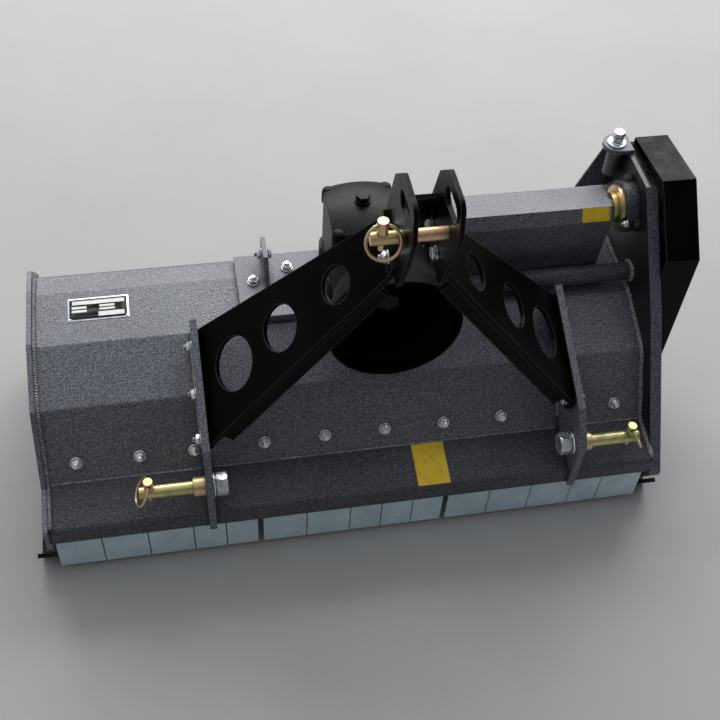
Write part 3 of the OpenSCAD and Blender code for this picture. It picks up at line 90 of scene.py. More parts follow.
class Finish:
    """A material whose nodes read Object coordinates and feed one principled shader."""

    def __init__(self, name, color, roughness, metallic=0.0, **sockets):
        self.material = bpy.data.materials.new(name)
        self.material.use_nodes = True
        self.tree = self.material.node_tree
        self.shader = self.tree.nodes["Principled BSDF"]
        self.where = self.add("ShaderNodeTexCoord").outputs["Object"]
        self.set("Base Color", (*color, 1.0))
        self.set("Roughness", roughness)
        self.set("Metallic", metallic)
        for socket, value in sockets.items():
            self.set(socket.replace("_", " "), value)

    def add(self, kind, **inputs):
        """A node of that kind, with its inputs linked or set."""
        node = self.tree.nodes.new(kind)
        for key, value in inputs.items():
            self.feed(node.inputs[key.replace("_", " ")], value)
        return node

    def feed(self, socket, value):
        """Links a socket to the input, or sets a constant on it."""
        if isinstance(value, bpy.types.NodeSocket):
            self.tree.links.new(value, socket)
        else:
            socket.default_value = value

    def set(self, socket, value):
        """Feeds an input of the shader."""
        self.feed(self.shader.inputs[socket], value)

    def noise(self, scale, detail=2.0, rough=0.55, where=None):
        return self.add("ShaderNodeTexNoise", Vector=where or self.where, Scale=scale, Detail=detail,
                        Roughness=rough).outputs["Fac"]

    def cells(self, scale, what="Distance"):
        return self.add("ShaderNodeTexVoronoi", Vector=self.where, Scale=scale).outputs[what]

    def stretched(self, x, y, z):
        """Object coordinates scaled along each axis, for drawn out grain."""
        node = self.add("ShaderNodeMapping", Vector=self.where)
        node.inputs["Scale"].default_value = (x, y, z)
        return node.outputs["Vector"]

    def ramp(self, value, *stops):
        """A value looked up on a band of (place, colour or grey) stops."""
        node = self.add("ShaderNodeValToRGB", Fac=value)
        band = node.color_ramp.elements
        while len(band) < len(stops):
            band.new(0.5)
        for element, (at, color) in zip(band, stops):
            element.position = at
            element.color = (*color, 1.0) if isinstance(color, tuple) else (color, color, color, 1.0)
        return node.outputs["Color"]

    def mix(self, share, first, second):
        """The first colour where share is 0 and the second where it is 1."""
        node = self.add("ShaderNodeMix")
        node.data_type = "RGBA"
        self.feed(node.inputs["Factor"], share)
        self.feed([s for s in node.inputs if s.name == "A" and s.type == "RGBA"][0], first)
        self.feed([s for s in node.inputs if s.name == "B" and s.type == "RGBA"][0], second)
        return [s for s in node.outputs if s.type == "RGBA"][0]

    def math(self, how, first, second):
        node = self.add("ShaderNodeMath")
        node.operation = how
        self.feed(node.inputs[0], first)
        self.feed(node.inputs[1], second)
        return node.outputs[0]

    def span(self, value, low, high):
        """A value from 0 to 1 spread from low to high."""
        return self.add("ShaderNodeMapRange", Value=value, To_Min=low, To_Max=high).outputs["Result"]

    def facing(self, axis):
        """How far a face looks along X, Y or Z."""
        normal = self.add("ShaderNodeNewGeometry").outputs["Normal"]
        return self.add("ShaderNodeSeparateXYZ", Vector=normal).outputs[axis]

    def upward(self):
        """1 on faces that look up, where dusty patches lie and where the tops take a painted sheen."""
        return self.ramp(self.facing("Z"), (0.72, 0.0), (0.98, 1.0))

    def corners(self, reach, low=0.35, high=0.85):
        """A mask for painted shade: 0 in tight corners, where shade falls, and 1 on open faces."""
        node = self.add("ShaderNodeAmbientOcclusion", Distance=reach)
        node.samples = 6
        return self.ramp(node.outputs["AO"], (low, 0.0), (high, 1.0))

    def edges(self, radius, low, high):
        """A mask for painted highlights: 1 along sharp edges, where the rounded normal leaves the flat one,
        and 0 on open faces.
        """
        bevel = self.add("ShaderNodeBevel", Radius=radius)
        bevel.samples = 6
        turn = self.add("ShaderNodeVectorMath")
        turn.operation = "DOT_PRODUCT"
        self.feed(turn.inputs[0], bevel.outputs["Normal"])
        self.feed(turn.inputs[1], self.add("ShaderNodeNewGeometry").outputs["Normal"])
        return self.ramp(turn.outputs["Value"], (low, 1.0), (high, 0.0))

    def relief(self, height, strength, distance, edge=0.0012):
        """Bump on normals that are rounded along the edges."""
        node = self.add("ShaderNodeBump", Height=height, Strength=strength, Distance=distance)
        if edge:
            bevel = self.add("ShaderNodeBevel", Radius=edge)
            bevel.samples = 4
            self.tree.links.new(bevel.outputs["Normal"], node.inputs["Normal"])
        self.set("Normal", node.outputs["Normal"])


def speckled_paint(name, light_share, shaded_inside=None):
    """Charcoal hammer finish: fine pale grains in a dark coat over shallow dimples, with painted highlights
    along the edges and painted shade in the corners. The share of light dims the whole coat, a painted shade
    for parts in shadow. Faces that look to the left take the given dark colour, a painted shade, if given."""
    f = Finish(name, (0.05, 0.05, 0.055), 0.42, Specular_IOR_Level=0.62 * light_share)
    grains = f.noise(500.0, 3.0, 0.7)
    dimples = f.cells(260.0)
    clouds = f.noise(9.0, 3.0)
    low, half, high = (tuple(light_share * c for c in color) for color in
                       ((0.020, 0.021, 0.027), (0.080, 0.084, 0.104), (0.325, 0.337, 0.390)))
    coat = f.ramp(grains, (0.36, low), (0.5, half), (0.64, high))
    dusty = f.ramp(clouds, (0.35, 0.0), (0.75, 0.16))
    coat = f.mix(dusty, coat, (0.1 * light_share, 0.104 * light_share, 0.12 * light_share, 1.0))
    # Painted shade: faces that look to the left, away from the lamps, take the given dark colour.
    if shaded_inside:
        leftward_shade = f.ramp(f.math("MULTIPLY", f.facing("X"), -1.0), (0.7, 0.0), (0.95, 1.0))
        coat = f.mix(leftward_shade, coat, shaded_inside)
    # Painted highlight: the coat turns paler along sharp edges, as if they caught the light.
    coat = f.mix(f.edges(0.0018, 0.80, 0.97), coat, (0.17 * light_share, 0.175 * light_share, 0.19 * light_share, 1.0))
    # Painted shade: the coat goes nearly black in tight corners, round nuts and along joints, where shade
    # falls.
    f.set("Base Color", f.mix(f.corners(0.012, 0.40, 0.90), (0.008, 0.008, 0.009, 1.0), coat))
    f.set("Roughness", f.span(f.math("MULTIPLY", grains, clouds), 0.30, 0.72))
    f.relief(f.math("ADD", dimples, grains), 0.35, 0.0009)
    return f.material


def gloss_black():
    """Smooth black paint with a slight orange peel, dull dusty patches, hairline scuffs, dusty tops that also
    stand in for a painted sheen, and painted highlights along the edges.
    """
    f = Finish("gloss_black", (0.004, 0.004, 0.0045), 0.28, Specular_IOR_Level=0.055)
    peel = f.noise(160.0, 2.0)
    patches = f.noise(11.0, 4.0, 0.6)
    hair = f.noise(60.0, 3.0, 0.7, f.stretched(1.0, 14.0, 3.0))
    dull = f.ramp(patches, (0.45, 0.0), (0.8, 0.5))
    coat = f.mix(dull, (0.002, 0.002, 0.0023, 1.0), (0.006, 0.006, 0.0064, 1.0))
    # Dust on upward faces, lighter in patches, which also stands in for a painted sheen on the tops.
    dust_and_sheen = f.math("MULTIPLY", f.upward(), f.ramp(f.noise(34.0, 5.0, 0.7), (0.48, 0.0), (0.70, 0.5)))
    coat = f.mix(dust_and_sheen, coat, (0.10, 0.094, 0.084, 1.0))
    # Painted highlight: the black turns grey along sharp edges, as if they caught the light.
    f.set("Base Color", f.mix(f.edges(0.0022, 0.82, 0.97), coat, (0.085, 0.086, 0.09, 1.0)))
    f.set("Roughness", f.span(f.math("MULTIPLY", patches, hair), 0.20, 0.75))
    f.relief(peel, 0.12, 0.0006, 0.0016)
    return f.material


def case_black():
    """Sand cast housing under black paint: coarse pores and worn high spots."""
    f = Finish("case_black", (0.008, 0.008, 0.009), 0.38, Specular_IOR_Level=0.19)
    pores = f.noise(210.0, 4.0, 0.65)
    lumps = f.noise(26.0, 2.0)
    f.set("Base Color", f.ramp(f.math("MULTIPLY", pores, lumps), (0.2, (0.004, 0.004, 0.0045)),
                               (0.45, (0.013, 0.013, 0.014))))
    f.set("Roughness", f.span(pores, 0.25, 0.6))
    f.relief(f.math("ADD", pores, lumps), 0.45, 0.0012, 0.002)
    return f.material


def yellow_zinc():
    """Passivated plating: olive gold that drifts to rose, with turning marks and painted shade in the
    corners.
    """
    f = Finish("yellow_zinc", (0.70, 0.55, 0.24), 0.32, 0.85)
    drift = f.noise(22.0, 3.0, 0.6)
    plate = f.ramp(drift, (0.36, (0.42, 0.45, 0.18)), (0.47, (0.66, 0.59, 0.28)), (0.57, (0.76, 0.53, 0.28)),
                   (0.68, (0.80, 0.42, 0.30)))
    # Painted shade: the plating turns dark brown in tight corners, where shade falls.
    f.set("Base Color", f.mix(f.corners(0.006), (0.06, 0.045, 0.02, 1.0), plate))
    marks = f.noise(320.0, 2.0, 0.6, f.stretched(6.0, 1.0, 1.0))
    f.set("Roughness", f.span(marks, 0.22, 0.48))
    f.relief(marks, 0.10, 0.0004, 0.0008)
    return f.material


def bright_zinc():
    """Bright plated fasteners with a cool cast, small stains and painted shade in the corners."""
    f = Finish("bright_zinc", (0.78, 0.79, 0.80), 0.30, 0.78, Specular_IOR_Level=0.8)
    stains = f.noise(90.0, 3.0, 0.6)
    plate = f.ramp(stains, (0.32, (0.62, 0.65, 0.69)), (0.5, (0.86, 0.89, 0.93)), (0.7, (0.94, 0.96, 0.98)))
    # Painted shade: the plating goes nearly black in tight corners, where nut meets washer and washer meets
    # panel.
    f.set("Base Color", f.mix(f.corners(0.006, 0.52, 0.78), (0.012, 0.012, 0.013, 1.0), plate))
    f.set("Roughness", f.span(stains, 0.15, 0.34))
    f.relief(stains, 0.06, 0.0004, 0.0006)
    return f.material


def flap_zinc():
    """Blue grey plating on rolled plate: soft spangle, cloudy patches and upright scratches."""
    f = Finish("flap_zinc", (0.46, 0.53, 0.57), 0.42, 0.30, Specular_IOR_Level=0.5)
    spangle = f.cells(120.0, "Color")
    clouds = f.noise(22.0, 4.0, 0.6)
    streaks = f.noise(150.0, 2.0, 0.6, f.stretched(5.0, 1.0, 0.25))
    base = f.ramp(clouds, (0.32, (0.52, 0.66, 0.75)), (0.55, (0.62, 0.78, 0.86)), (0.72, (0.74, 0.86, 0.92)))
    f.set("Base Color", f.mix(0.06, base, spangle))
    f.set("Roughness", f.span(streaks, 0.34, 0.58))
    f.relief(streaks, 0.08, 0.0004, 0.0010)
    return f.material


def bare_steel():
    """Turned and forged steel with darker stains and a fine grain."""
    f = Finish("bare_steel", (0.38, 0.38, 0.39), 0.40, 0.9)
    stains = f.noise(40.0, 4.0, 0.65)
    f.set("Base Color", f.ramp(stains, (0.3, (0.20, 0.19, 0.18)), (0.55, (0.38, 0.38, 0.38)),
                               (0.75, (0.50, 0.50, 0.51))))
    f.set("Roughness", f.span(stains, 0.28, 0.6))
    f.relief(f.noise(260.0, 3.0), 0.12, 0.0005, 0.0010)
    return f.material


def black_rubber():
    """Matte belt rubber with a fabric grain."""
    f = Finish("black_rubber", (0.020, 0.020, 0.020), 0.75)
    weave = f.noise(700.0, 2.0)
    f.set("Base Color", f.ramp(weave, (0.35, (0.012, 0.012, 0.012)), (0.7, (0.035, 0.034, 0.033))))
    f.set("Roughness", f.span(weave, 0.65, 0.9))
    f.relief(weave, 0.2, 0.0004, 0.0008)
    return f.material


def black_plastic():
    """Moulded polyethylene: satin black with a fine mould grain."""
    f = Finish("black_plastic", (0.012, 0.012, 0.013), 0.5, Specular_IOR_Level=0.045)
    grain = f.noise(520.0, 2.0)
    f.set("Base Color", f.ramp(f.noise(14.0, 3.0), (0.35, (0.0015, 0.0015, 0.0017)),
                               (0.7, (0.005, 0.005, 0.0053))))
    f.set("Roughness", f.span(grain, 0.42, 0.62))
    f.relief(grain, 0.15, 0.0004, 0.0014)
    return f.material


def weld_paint():
    """The same coat on weld metal, paler and with coarser grains; the paleness is also a painted highlight
    for the thin bead along the hood's lower edge.
    """
    f = Finish("weld_paint", (0.06, 0.06, 0.065), 0.4, Specular_IOR_Level=0.5)
    grains = f.noise(380.0, 3.0, 0.7)
    f.set("Base Color", f.ramp(grains, (0.34, (0.040, 0.041, 0.046)), (0.50, (0.20, 0.205, 0.225)),
                               (0.66, (0.55, 0.555, 0.58))))
    f.set("Roughness", f.span(grains, 0.28, 0.62))
    f.relief(grains, 0.3, 0.0006, 0.0)
    return f.material


def pale_print():
    """White lacquer on sheet metal, slightly rubbed."""
    f = Finish("pale_print", (0.78, 0.78, 0.77), 0.4)
    f.set("Base Color", f.ramp(f.noise(120.0, 3.0), (0.3, (0.66, 0.66, 0.65)), (0.6, (0.82, 0.82, 0.81))))
    return f.material


def yellow_foil():
    """Yellow adhesive foil with a satin face, faint dirt and a little ripple."""
    f = Finish("yellow_foil", (0.62, 0.40, 0.012), 0.38, Specular_IOR_Level=0.5)
    dirt = f.noise(70.0, 4.0, 0.65)
    f.set("Base Color", f.ramp(dirt, (0.30, (0.52, 0.34, 0.012)), (0.46, (0.78, 0.52, 0.014)),
                               (0.75, (0.84, 0.58, 0.02))))
    f.set("Roughness", f.span(dirt, 0.30, 0.52))
    f.relief(f.noise(45.0, 2.0), 0.06, 0.0008, 0.0)
    return f.material


def plain_floor():
    """Pale even floor with a very faint cloud."""
    f = Finish("plain_floor", (0.50, 0.49, 0.475), 0.85, Specular_IOR_Level=0.2)
    f.set("Base Color", f.ramp(f.noise(2.2, 4.0, 0.6), (0.3, (0.437, 0.434, 0.430)),
                               (0.7, (0.466, 0.464, 0.460))))
    return f.material


def dress(material, *names):
    """Gives each of the named nodes one material."""
    for name in names:
        mesh = NODES[name].data
        mesh.materials.clear()
        mesh.materials.append(material)


# Stage


def build_stage():
    """A round floor whose rim curves up, a large soft lamp above and behind, a weak one in front, and a sky
    that is paler above and behind. The floor is a profile turned about Z: flat out to edge, then a quarter
    circle of radius rim."""
    edge, rim = 12.0, 5.0
    bend = np.linspace(0.0, math.pi / 2, 17)[1:]
    reach = np.concatenate([[0.01, 1.0, 2.0, 4.0, 6.0, 8.0, 10.0, edge], edge + rim * np.sin(bend)])
    rise = np.concatenate([np.zeros(8), rim - rim * np.cos(bend)])
    grid = lathe(np.stack([rise, reach], -1), 96)
    surface("floor", grid[:, ::-1], plain_floor())
    lamp("key_lamp", spot=(0.6, 3.1, 2.9), target=(0.0, 0.0, 0.3), size=(5.4, 2.4), power=200.0)
    lamp("fill_lamp", spot=(-3.0, -1.6, 2.6), target=(0.0, 0.0, 0.2), size=(2.5, 2.5), power=6.0)
    world = bpy.data.worlds.new("sky")
    world.use_nodes = True
    nodes, links = world.node_tree.nodes, world.node_tree.links
    sky = nodes["Background"]
    sky.inputs["Color"].default_value = (0.93, 0.96, 1.0, 1.0)
    lean = nodes.new("ShaderNodeVectorMath")
    lean.operation = "DOT_PRODUCT"
    lean.inputs[1].default_value = (-0.10, 0.70, 0.70)
    glow = nodes.new("ShaderNodeMapRange")
    glow.interpolation_type = "SMOOTHSTEP"
    for key, value in (("From Min", -0.15), ("From Max", 1.0), ("To Min", 0.15), ("To Max", 0.80)):
        glow.inputs[key].default_value = value
    links.new(nodes.new("ShaderNodeTexCoord").outputs["Generated"], lean.inputs[0])
    links.new(lean.outputs["Value"], glow.inputs["Value"])
    links.new(glow.outputs["Result"], sky.inputs["Strength"])
    bpy.context.scene.world = world
    bpy.context.scene.view_settings.view_transform = "Standard"


def lamp(name, spot, target, size, power):
    """A soft rectangular lamp at spot that shines on target."""
    data = bpy.data.lights.new(name, "AREA")
    data.shape = "RECTANGLE"
    data.size, data.size_y = size
    data.energy = power
    light = bpy.data.objects.new(name, data)
    way = (Vector(spot) - Vector(target)).to_track_quat("Z", "Y")
    light.matrix_world = Matrix.Translation(Vector(spot)) @ way.to_matrix().to_4x4()
    bpy.context.scene.collection.objects.link(light)


# Surfaces


def surface(name, grid, material):
    """A grid of points (rows, columns, 3) made a mesh of quads that closes round its columns."""
    rows, columns = grid.shape[:2]
    index = np.arange(rows * columns).reshape(rows, columns)
    after = np.roll(index, -1, 1)
    quads = np.stack([index[:-1], after[:-1], after[1:], index[1:]], -1).reshape(-1, 4)
    return mesh_piece(name, grid.reshape(-1, 3), quads.tolist(), material)


def mesh_piece(name, points, faces, material):
    """A smooth shaded mesh of the given points and faces, as an object at the origin."""
    mesh = bpy.data.meshes.new(name)
    mesh.from_pydata(points.tolist(), [], faces)
    mesh.polygons.foreach_set("use_smooth", np.full(len(mesh.polygons), True))
    mesh.materials.append(material)
    mesh.validate()
    mesh.update()
    piece = bpy.data.objects.new(name, mesh)
    bpy.context.scene.collection.objects.link(piece)
    return piece


def shell(grid, start):
    """Points and faces of a grid that closes round its columns. Where its last row is its first, the rows
    close as a ring; otherwise each end closes as a fan on its middle. Points are numbered from start."""
    ring = np.allclose(grid[0], grid[-1])
    grid = grid[:-1] if ring else grid
    rows, columns = grid.shape[:2]
    index = start + np.arange(rows * columns).reshape(rows, columns)
    lower = index if ring else index[:-1]
    upper = np.roll(index, -1, 0) if ring else index[1:]
    quads = np.stack([lower, np.roll(lower, -1, 1), np.roll(upper, -1, 1), upper], -1).reshape(-1, 4)
    points, faces = grid.reshape(-1, 3), quads.tolist()
    if not ring:
        foot, tip = np.full((2, columns), start + rows * columns) + [[0], [1]]
        faces += np.stack([foot, np.roll(index[0], -1), index[0]], -1).tolist()
        faces += np.stack([index[-1], np.roll(index[-1], -1), tip], -1).tolist()
        points = np.concatenate([points, grid[:1].mean(1), grid[-1:].mean(1)])
    return points, faces


def full_turn(columns):
    """Angles of equal steps round a circle."""
    return np.arange(columns) / columns * 2.0 * math.pi


def lathe(rows, columns=36, reach=None):
    """Rows of (height, radius) turned about the axis; reach(angle) caps the radius, as a hexagon does."""
    angle = full_turn(columns)
    height, radius = np.asarray(rows, float).T
    span = np.broadcast_to(radius[:, None], (len(radius), columns))
    if reach is not None:
        span = np.minimum(span, reach(angle)[None, :])
    lift = np.broadcast_to(height[:, None], span.shape)
    return np.stack([span * np.cos(angle), span * np.sin(angle), lift], -1)


def hexagon(corner):
    """Radius of a hexagon with the given corner radius, as a function of the angle."""
    return lambda angle: corner * math.cos(math.pi / 6) / np.cos(angle % (math.pi / 3) - math.pi / 6)


def washer(d):
    """Flat ring with rounded rims: a closed profile in shares of the bolt's diameter, turned round."""
    shares = [(0, .53), (0, 1.06), (.03, 1.1), (.09, 1.1), (.14, 1.07), (.18, 1.02), (.2, .96), (.2, .53),
              (0, .53)]
    return lathe(np.array(shares) * d)


def hex_body(corner, bore, low, high, collar):
    """Hexagon between two cones that cut its corners, with a round collar of the given height on top."""
    cut = .5 * (1 - math.cos(math.pi / 6)) * corner
    rim = [(low, bore), (low, .87 * corner), (low + cut, .94 * corner), (low + 2 * cut, 1.01 * corner)]
    top = high - collar
    rim += [(top - 2 * cut, 1.01 * corner), (top - cut, .94 * corner), (top, .87 * corner)]
    if collar:
        rim += [(top, .78 * corner), (high - .8 * collar, .77 * corner), (high - .3 * collar, .70 * corner),
                (high, .58 * corner)]
    return lathe(rim + [(high, bore), (low, bore)], reach=hexagon(corner))


def screw(d, low, high):
    """Threaded end: the radius falls and rises once each pitch and turns with the angle; its tip narrows."""
    pitch, columns = .15 * d, 24
    z = np.linspace(low, high - .08 * d, int((high - low) / pitch * 6))[:, None]
    angle = full_turn(columns)
    phase = (z / pitch - angle / (2.0 * math.pi)) % 1.0
    radius = .5 * d - .09 * d * np.abs(2.0 * phase - 1.0)
    side = np.stack(np.broadcast_arrays(radius * np.cos(angle), radius * np.sin(angle), z), -1)
    tip = lathe([(high, .36 * d), (high, .18 * d)], columns)
    return np.concatenate([side, tip])


def nut_end(d, stud):
    """Locking nut on its washer with the threaded end that stands out of it."""
    return [washer(d), hex_body(.95 * d, .46 * d, .2 * d, d, .24 * d), screw(d, .75 * d, d + stud)]


def head_end(d):
    """Bolt head on its washer, with a shallow dish in its face."""
    core_shares = [(.2, .5), (.85, .5), (.83, .44), (.83, .2)]
    return [washer(d), hex_body(.95 * d, .5 * d, .2 * d, .85 * d, 0.0), lathe(np.array(core_shares) * d)]


def along(axis, spot, spin=0.0, side=None):
    """A function that takes local height to axis at spot, after a turn by spin; local X goes to side."""
    axis = np.asarray(axis, float) / np.linalg.norm(axis)
    if side is None:
        side = np.cross(UP if abs(axis[2]) < 0.9 else (0.0, 1.0, 0.0), axis)
    side = np.asarray(side, float) / np.linalg.norm(side)
    turn = np.stack([side, np.cross(axis, side), axis], -1)
    c, s = math.cos(spin), math.sin(spin)
    turn = turn @ np.array([(c, -s, 0.0), (s, c, 0.0), (0.0, 0.0, 1.0)])
    return lambda grid: grid @ turn.T + np.asarray(spot, float)


def put(grids, *where):
    """Grids taken to their place along an axis."""
    return [along(*where)(grid) for grid in grids]


def through(spot, axis, grip, stud, spin):
    """Nut end on the face at spot, and the bolt head behind the gripped plates."""
    axis, spot = np.asarray(axis, float), np.asarray(spot, float)
    front = put(nut_end(BOLT, stud), axis, spot, spin)
    return front + put(head_end(BOLT), -axis, spot - axis * grip, 1.7 * spin)


def tile(w, h, r, rows):
    """Rounded rectangle w by h: four quarter circles of radius r, at each (height, inset) of the rows."""
    steps = 7
    quarter = np.linspace(0.0, math.pi / 2, steps)
    angle = np.concatenate([quarter + k * math.pi / 2 for k in range(4)])
    sign_x = np.repeat([1.0, -1.0, -1.0, 1.0], steps)
    sign_y = np.repeat([1.0, 1.0, -1.0, -1.0], steps)
    height, inset = np.asarray(rows, float).T[:, :, None]
    round_r = np.maximum(r - inset, 0.02)
    x = sign_x * (w / 2 - inset - round_r) + round_r * np.cos(angle)
    y = sign_y * (h / 2 - inset - round_r) + round_r * np.sin(angle)
    return np.stack([x, y, np.broadcast_to(height, x.shape)], -1)


def sticker(w, h, r, t):
    """Thin leaf w by h with corners r: a wall of about t, a soft rim and a face that swells to the middle."""
    half = min(w, h) / 2 - 0.05
    rim = min(0.6, half * 0.3)
    return tile(w, h, r, [(0.0, 0.0), (t * 0.6, 0.0), (t, rim), (t * 1.15, half * 0.5), (t * 1.2, half)])


def bead(path, radius, pitch=4.6):
    """Weld bead: a tube along the path whose radius swells once a pitch, with crescents that lag at its
    sides: r(s, v) = R (1 + 0.16 cos(2 pi s / pitch + 18 w + 0.9 cos v) + w) with a slow wander w(s), and
    tapered at both ends. The path's corners are softened by a mean over a few millimetres."""
    step, columns = 1.0, 14
    path = np.asarray(path, float)
    leg = np.linalg.norm(np.diff(path, axis=0), axis=1)
    knots = np.concatenate([[0.0], np.cumsum(leg)])
    s = np.linspace(0.0, knots[-1], max(int(knots[-1] / step), 8))
    soft = np.array([-6.0, -3.0, 0.0, 3.0, 6.0])
    spots = np.clip(s[:, None] + soft, 0.0, knots[-1])
    line = np.stack([np.interp(spots, knots, path[:, k]).mean(1) for k in range(3)], -1)
    ahead = np.gradient(line, axis=0)
    ahead /= np.linalg.norm(ahead, axis=1)[:, None]
    side = np.cross(ahead, np.cross(RIGHT, ahead) + 1e-6)
    side /= np.linalg.norm(side, axis=1)[:, None]
    over = np.cross(ahead, side)
    v = full_turn(columns)
    wander = (0.10 * np.sin(s / 17.0) + 0.07 * np.sin(s / 7.3 + 1.0))[:, None]
    ripple = 0.16 * np.cos(2.0 * math.pi * s[:, None] / pitch + 18.0 * wander + 0.9 * np.cos(v))
    ends = np.sqrt(np.clip(np.minimum(s, knots[-1] - s) / (1.2 * radius), 0.02, 1.0))
    r = radius * (1.0 + ripple + wander) * ends[:, None]
    out = np.cos(v)[:, None] * side[:, None] + np.sin(v)[:, None] * over[:, None]
    return line[:, None] + r[..., None] * out


def arc(x, middle, radius, start, stop, count):
    """Points of a circle round middle (Y, Z) at one X, between two angles."""
    angle = np.linspace(start, stop, count)
    y, z = middle[0] + radius * np.cos(angle), middle[1] + radius * np.sin(angle)
    return np.stack([np.full(count, x), y, z], -1)


def set_of(name, grids, material, node=None, sharp=35.0):
    """Closed grids in machine millimetres as one piece of the chassis, which may stand in for a node."""
    points, faces = np.empty((0, 3)), []
    for grid in grids:
        spots, sides = shell(place(grid), len(points))
        points = np.concatenate([points, spots])
        faces += sides
    piece = mesh_piece(name, points, faces, material)
    piece.data.set_sharp_from_angle(angle=math.radians(sharp))
    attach(piece, "chassis")
    if node:
        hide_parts(node)


# Small pieces


def normal_of(a, b):
    """Upward normal of the panel between two points of a section."""
    y, z = np.asarray(b, float) - np.asarray(a, float)
    return np.array([0.0, -z, y]) / math.hypot(y, z)


def panel_spot(a, b, x, y):
    """Point of the panel between a and b at the given X and Y."""
    return (x, y, np.interp(y, (a[0], b[0]), (a[1], b[1])))


def build_counter_nuts():
    """Ten locking nuts along the hood with their heads under the counter bar."""
    across = [-472.5, -367.5, -276.5, -157.5, -52.5, 52.5, 157.5, 262.5, 392.5, 472.5]
    row_y, row_z = 101.26, 189.67
    grip, stud = 18.0, 0.6 * BOLT
    out = normal_of(HOOD[0], HOOD[1])
    grids = []
    for i, x in enumerate(across):
        grids += through((x, row_y, row_z), out, grip, stud, 0.9 * i * i)
    set_of("counter_nuts", grids, BRIGHT, "counter_bolts")


def build_frame_nuts():
    """Fasteners of the mast, the gearbox base, the hitch pins and the belt tension."""
    bracket_bolts, bracket_grip = ((73.2, 257.2), (143.0, 289.3), (216.4, 323.1)), 20.0
    ear_bolts, ear_face, ear_grip = ((56.9, 654.9), (96.9, 673.3)), 42.0, 15.0
    base_bolts, base_top = ((-145.7, 347.0), (-82.9, 374.0), (-82.9, 302.0), (-145.7, 299.0)), 330.0
    flank_bolt, flank_grip = (-126.1, 383.0, 362.0), 8.0
    lower_pin = (22.0, 197.0)
    pin_nut = [washer(19.0), hex_body(20.0, 11.2, 4.0, 24.0, 0.0)]
    tension_foot, tension_washer, tension_corner = (508.0, 424.0, 518.0), 15.8, 10.4
    stud = 0.4 * BOLT
    grids = []
    for side in (-1.0, 1.0):
        out, inward = (side, 0.0, 0.0), (-side, 0.0, 0.0)
        outer_face = HITCH + side * (BRACKET + BRACKET_HALF)
        inner_face = HITCH + side * (BRACKET - BRACKET_HALF)
        for i, (y, z) in enumerate(bracket_bolts):
            grids += through((outer_face, y, z), out, bracket_grip, stud, 0.7 * i + side)
        for i, (y, z) in enumerate(ear_bolts):
            grids += through((HITCH + side * ear_face, y, z), out, ear_grip, stud, 1.1 * i + side)
        grids += put(pin_nut, inward, (inner_face, *lower_pin), 0.3 * side)
    for i, (x, y) in enumerate(base_bolts):
        grids += put(nut_end(BOLT, stud), UP, (x, y, base_top), 0.8 * i)
    grids += through(flank_bolt, LEFT, flank_grip, stud, 0.4)
    tension = [washer(tension_washer), washer(tension_washer * 0.72) + (0.0, 0.0, 3.0),
               hex_body(tension_corner, 5.4, 5.2, 14.0, 0.0), hex_body(tension_corner, 0.1, 15.6, 24.0, 0.0),
               screw(11.6, -50.0, 17.0)]
    grids += put(tension, UP, tension_foot, 0.5)
    set_of("frame_nuts", grids, BRIGHT, "frame_bolts")


def build_small_bolts():
    """Bolts of the bearing flange and of the cover's front."""
    flange_face, flange_bolts, stud = 503.0, ((299.0, 440.0), (368.0, 400.2)), 3.0
    foot_x, foot_y, foot_lift = (196.0, 300.0, 404.0, 466.0), 311.5, 3.05
    panel = HOOD[2:4]
    out = normal_of(*panel)
    grids = []
    for i, (y, z) in enumerate(flange_bolts):
        grids += put(nut_end(SMALL_BOLT, stud), LEFT, (flange_face, y, z), 0.6 * i)
    for i, x in enumerate(foot_x):
        spot = np.array(panel_spot(*panel, x, foot_y)) + foot_lift * out
        grids += put(head_end(SMALL_BOLT), out, spot, 0.5 * i)
    set_of("small_bolts", grids, BRIGHT)


def build_case_lugs():
    """Rounded cast lugs on the corners of the gearbox, which are turned profiles, and the ledge over its
    front flange, a tube along an arc about the gearbox axis whose pitch is too long to show a swell."""
    boss = lathe([(0.0, 9.0), (3.0, 11.5), (22.0, 11.5), (27.0, 10.0), (30.0, 6.5), (31.0, 0.05)], 30)
    boss_x, boss_y, boss_foot = (-8.0, 90.0), (295.0, 401.0), 454.0
    ledge_y, ledge_reach = 280.0, 57.0
    grids = [boss + (x, y, boss_foot) for x in boss_x for y in boss_y]
    ledge = arc(ledge_y, GEARBOX, ledge_reach, math.radians(8.0), math.radians(172.0), 60)
    # The ledge stands at one Y, so the first two coordinates of its arc change places.
    grids.append(bead(ledge[:, [1, 0, 2]], radius=5.0, pitch=400.0))
    set_of("case_lugs", grids, CASE, sharp=70.0)


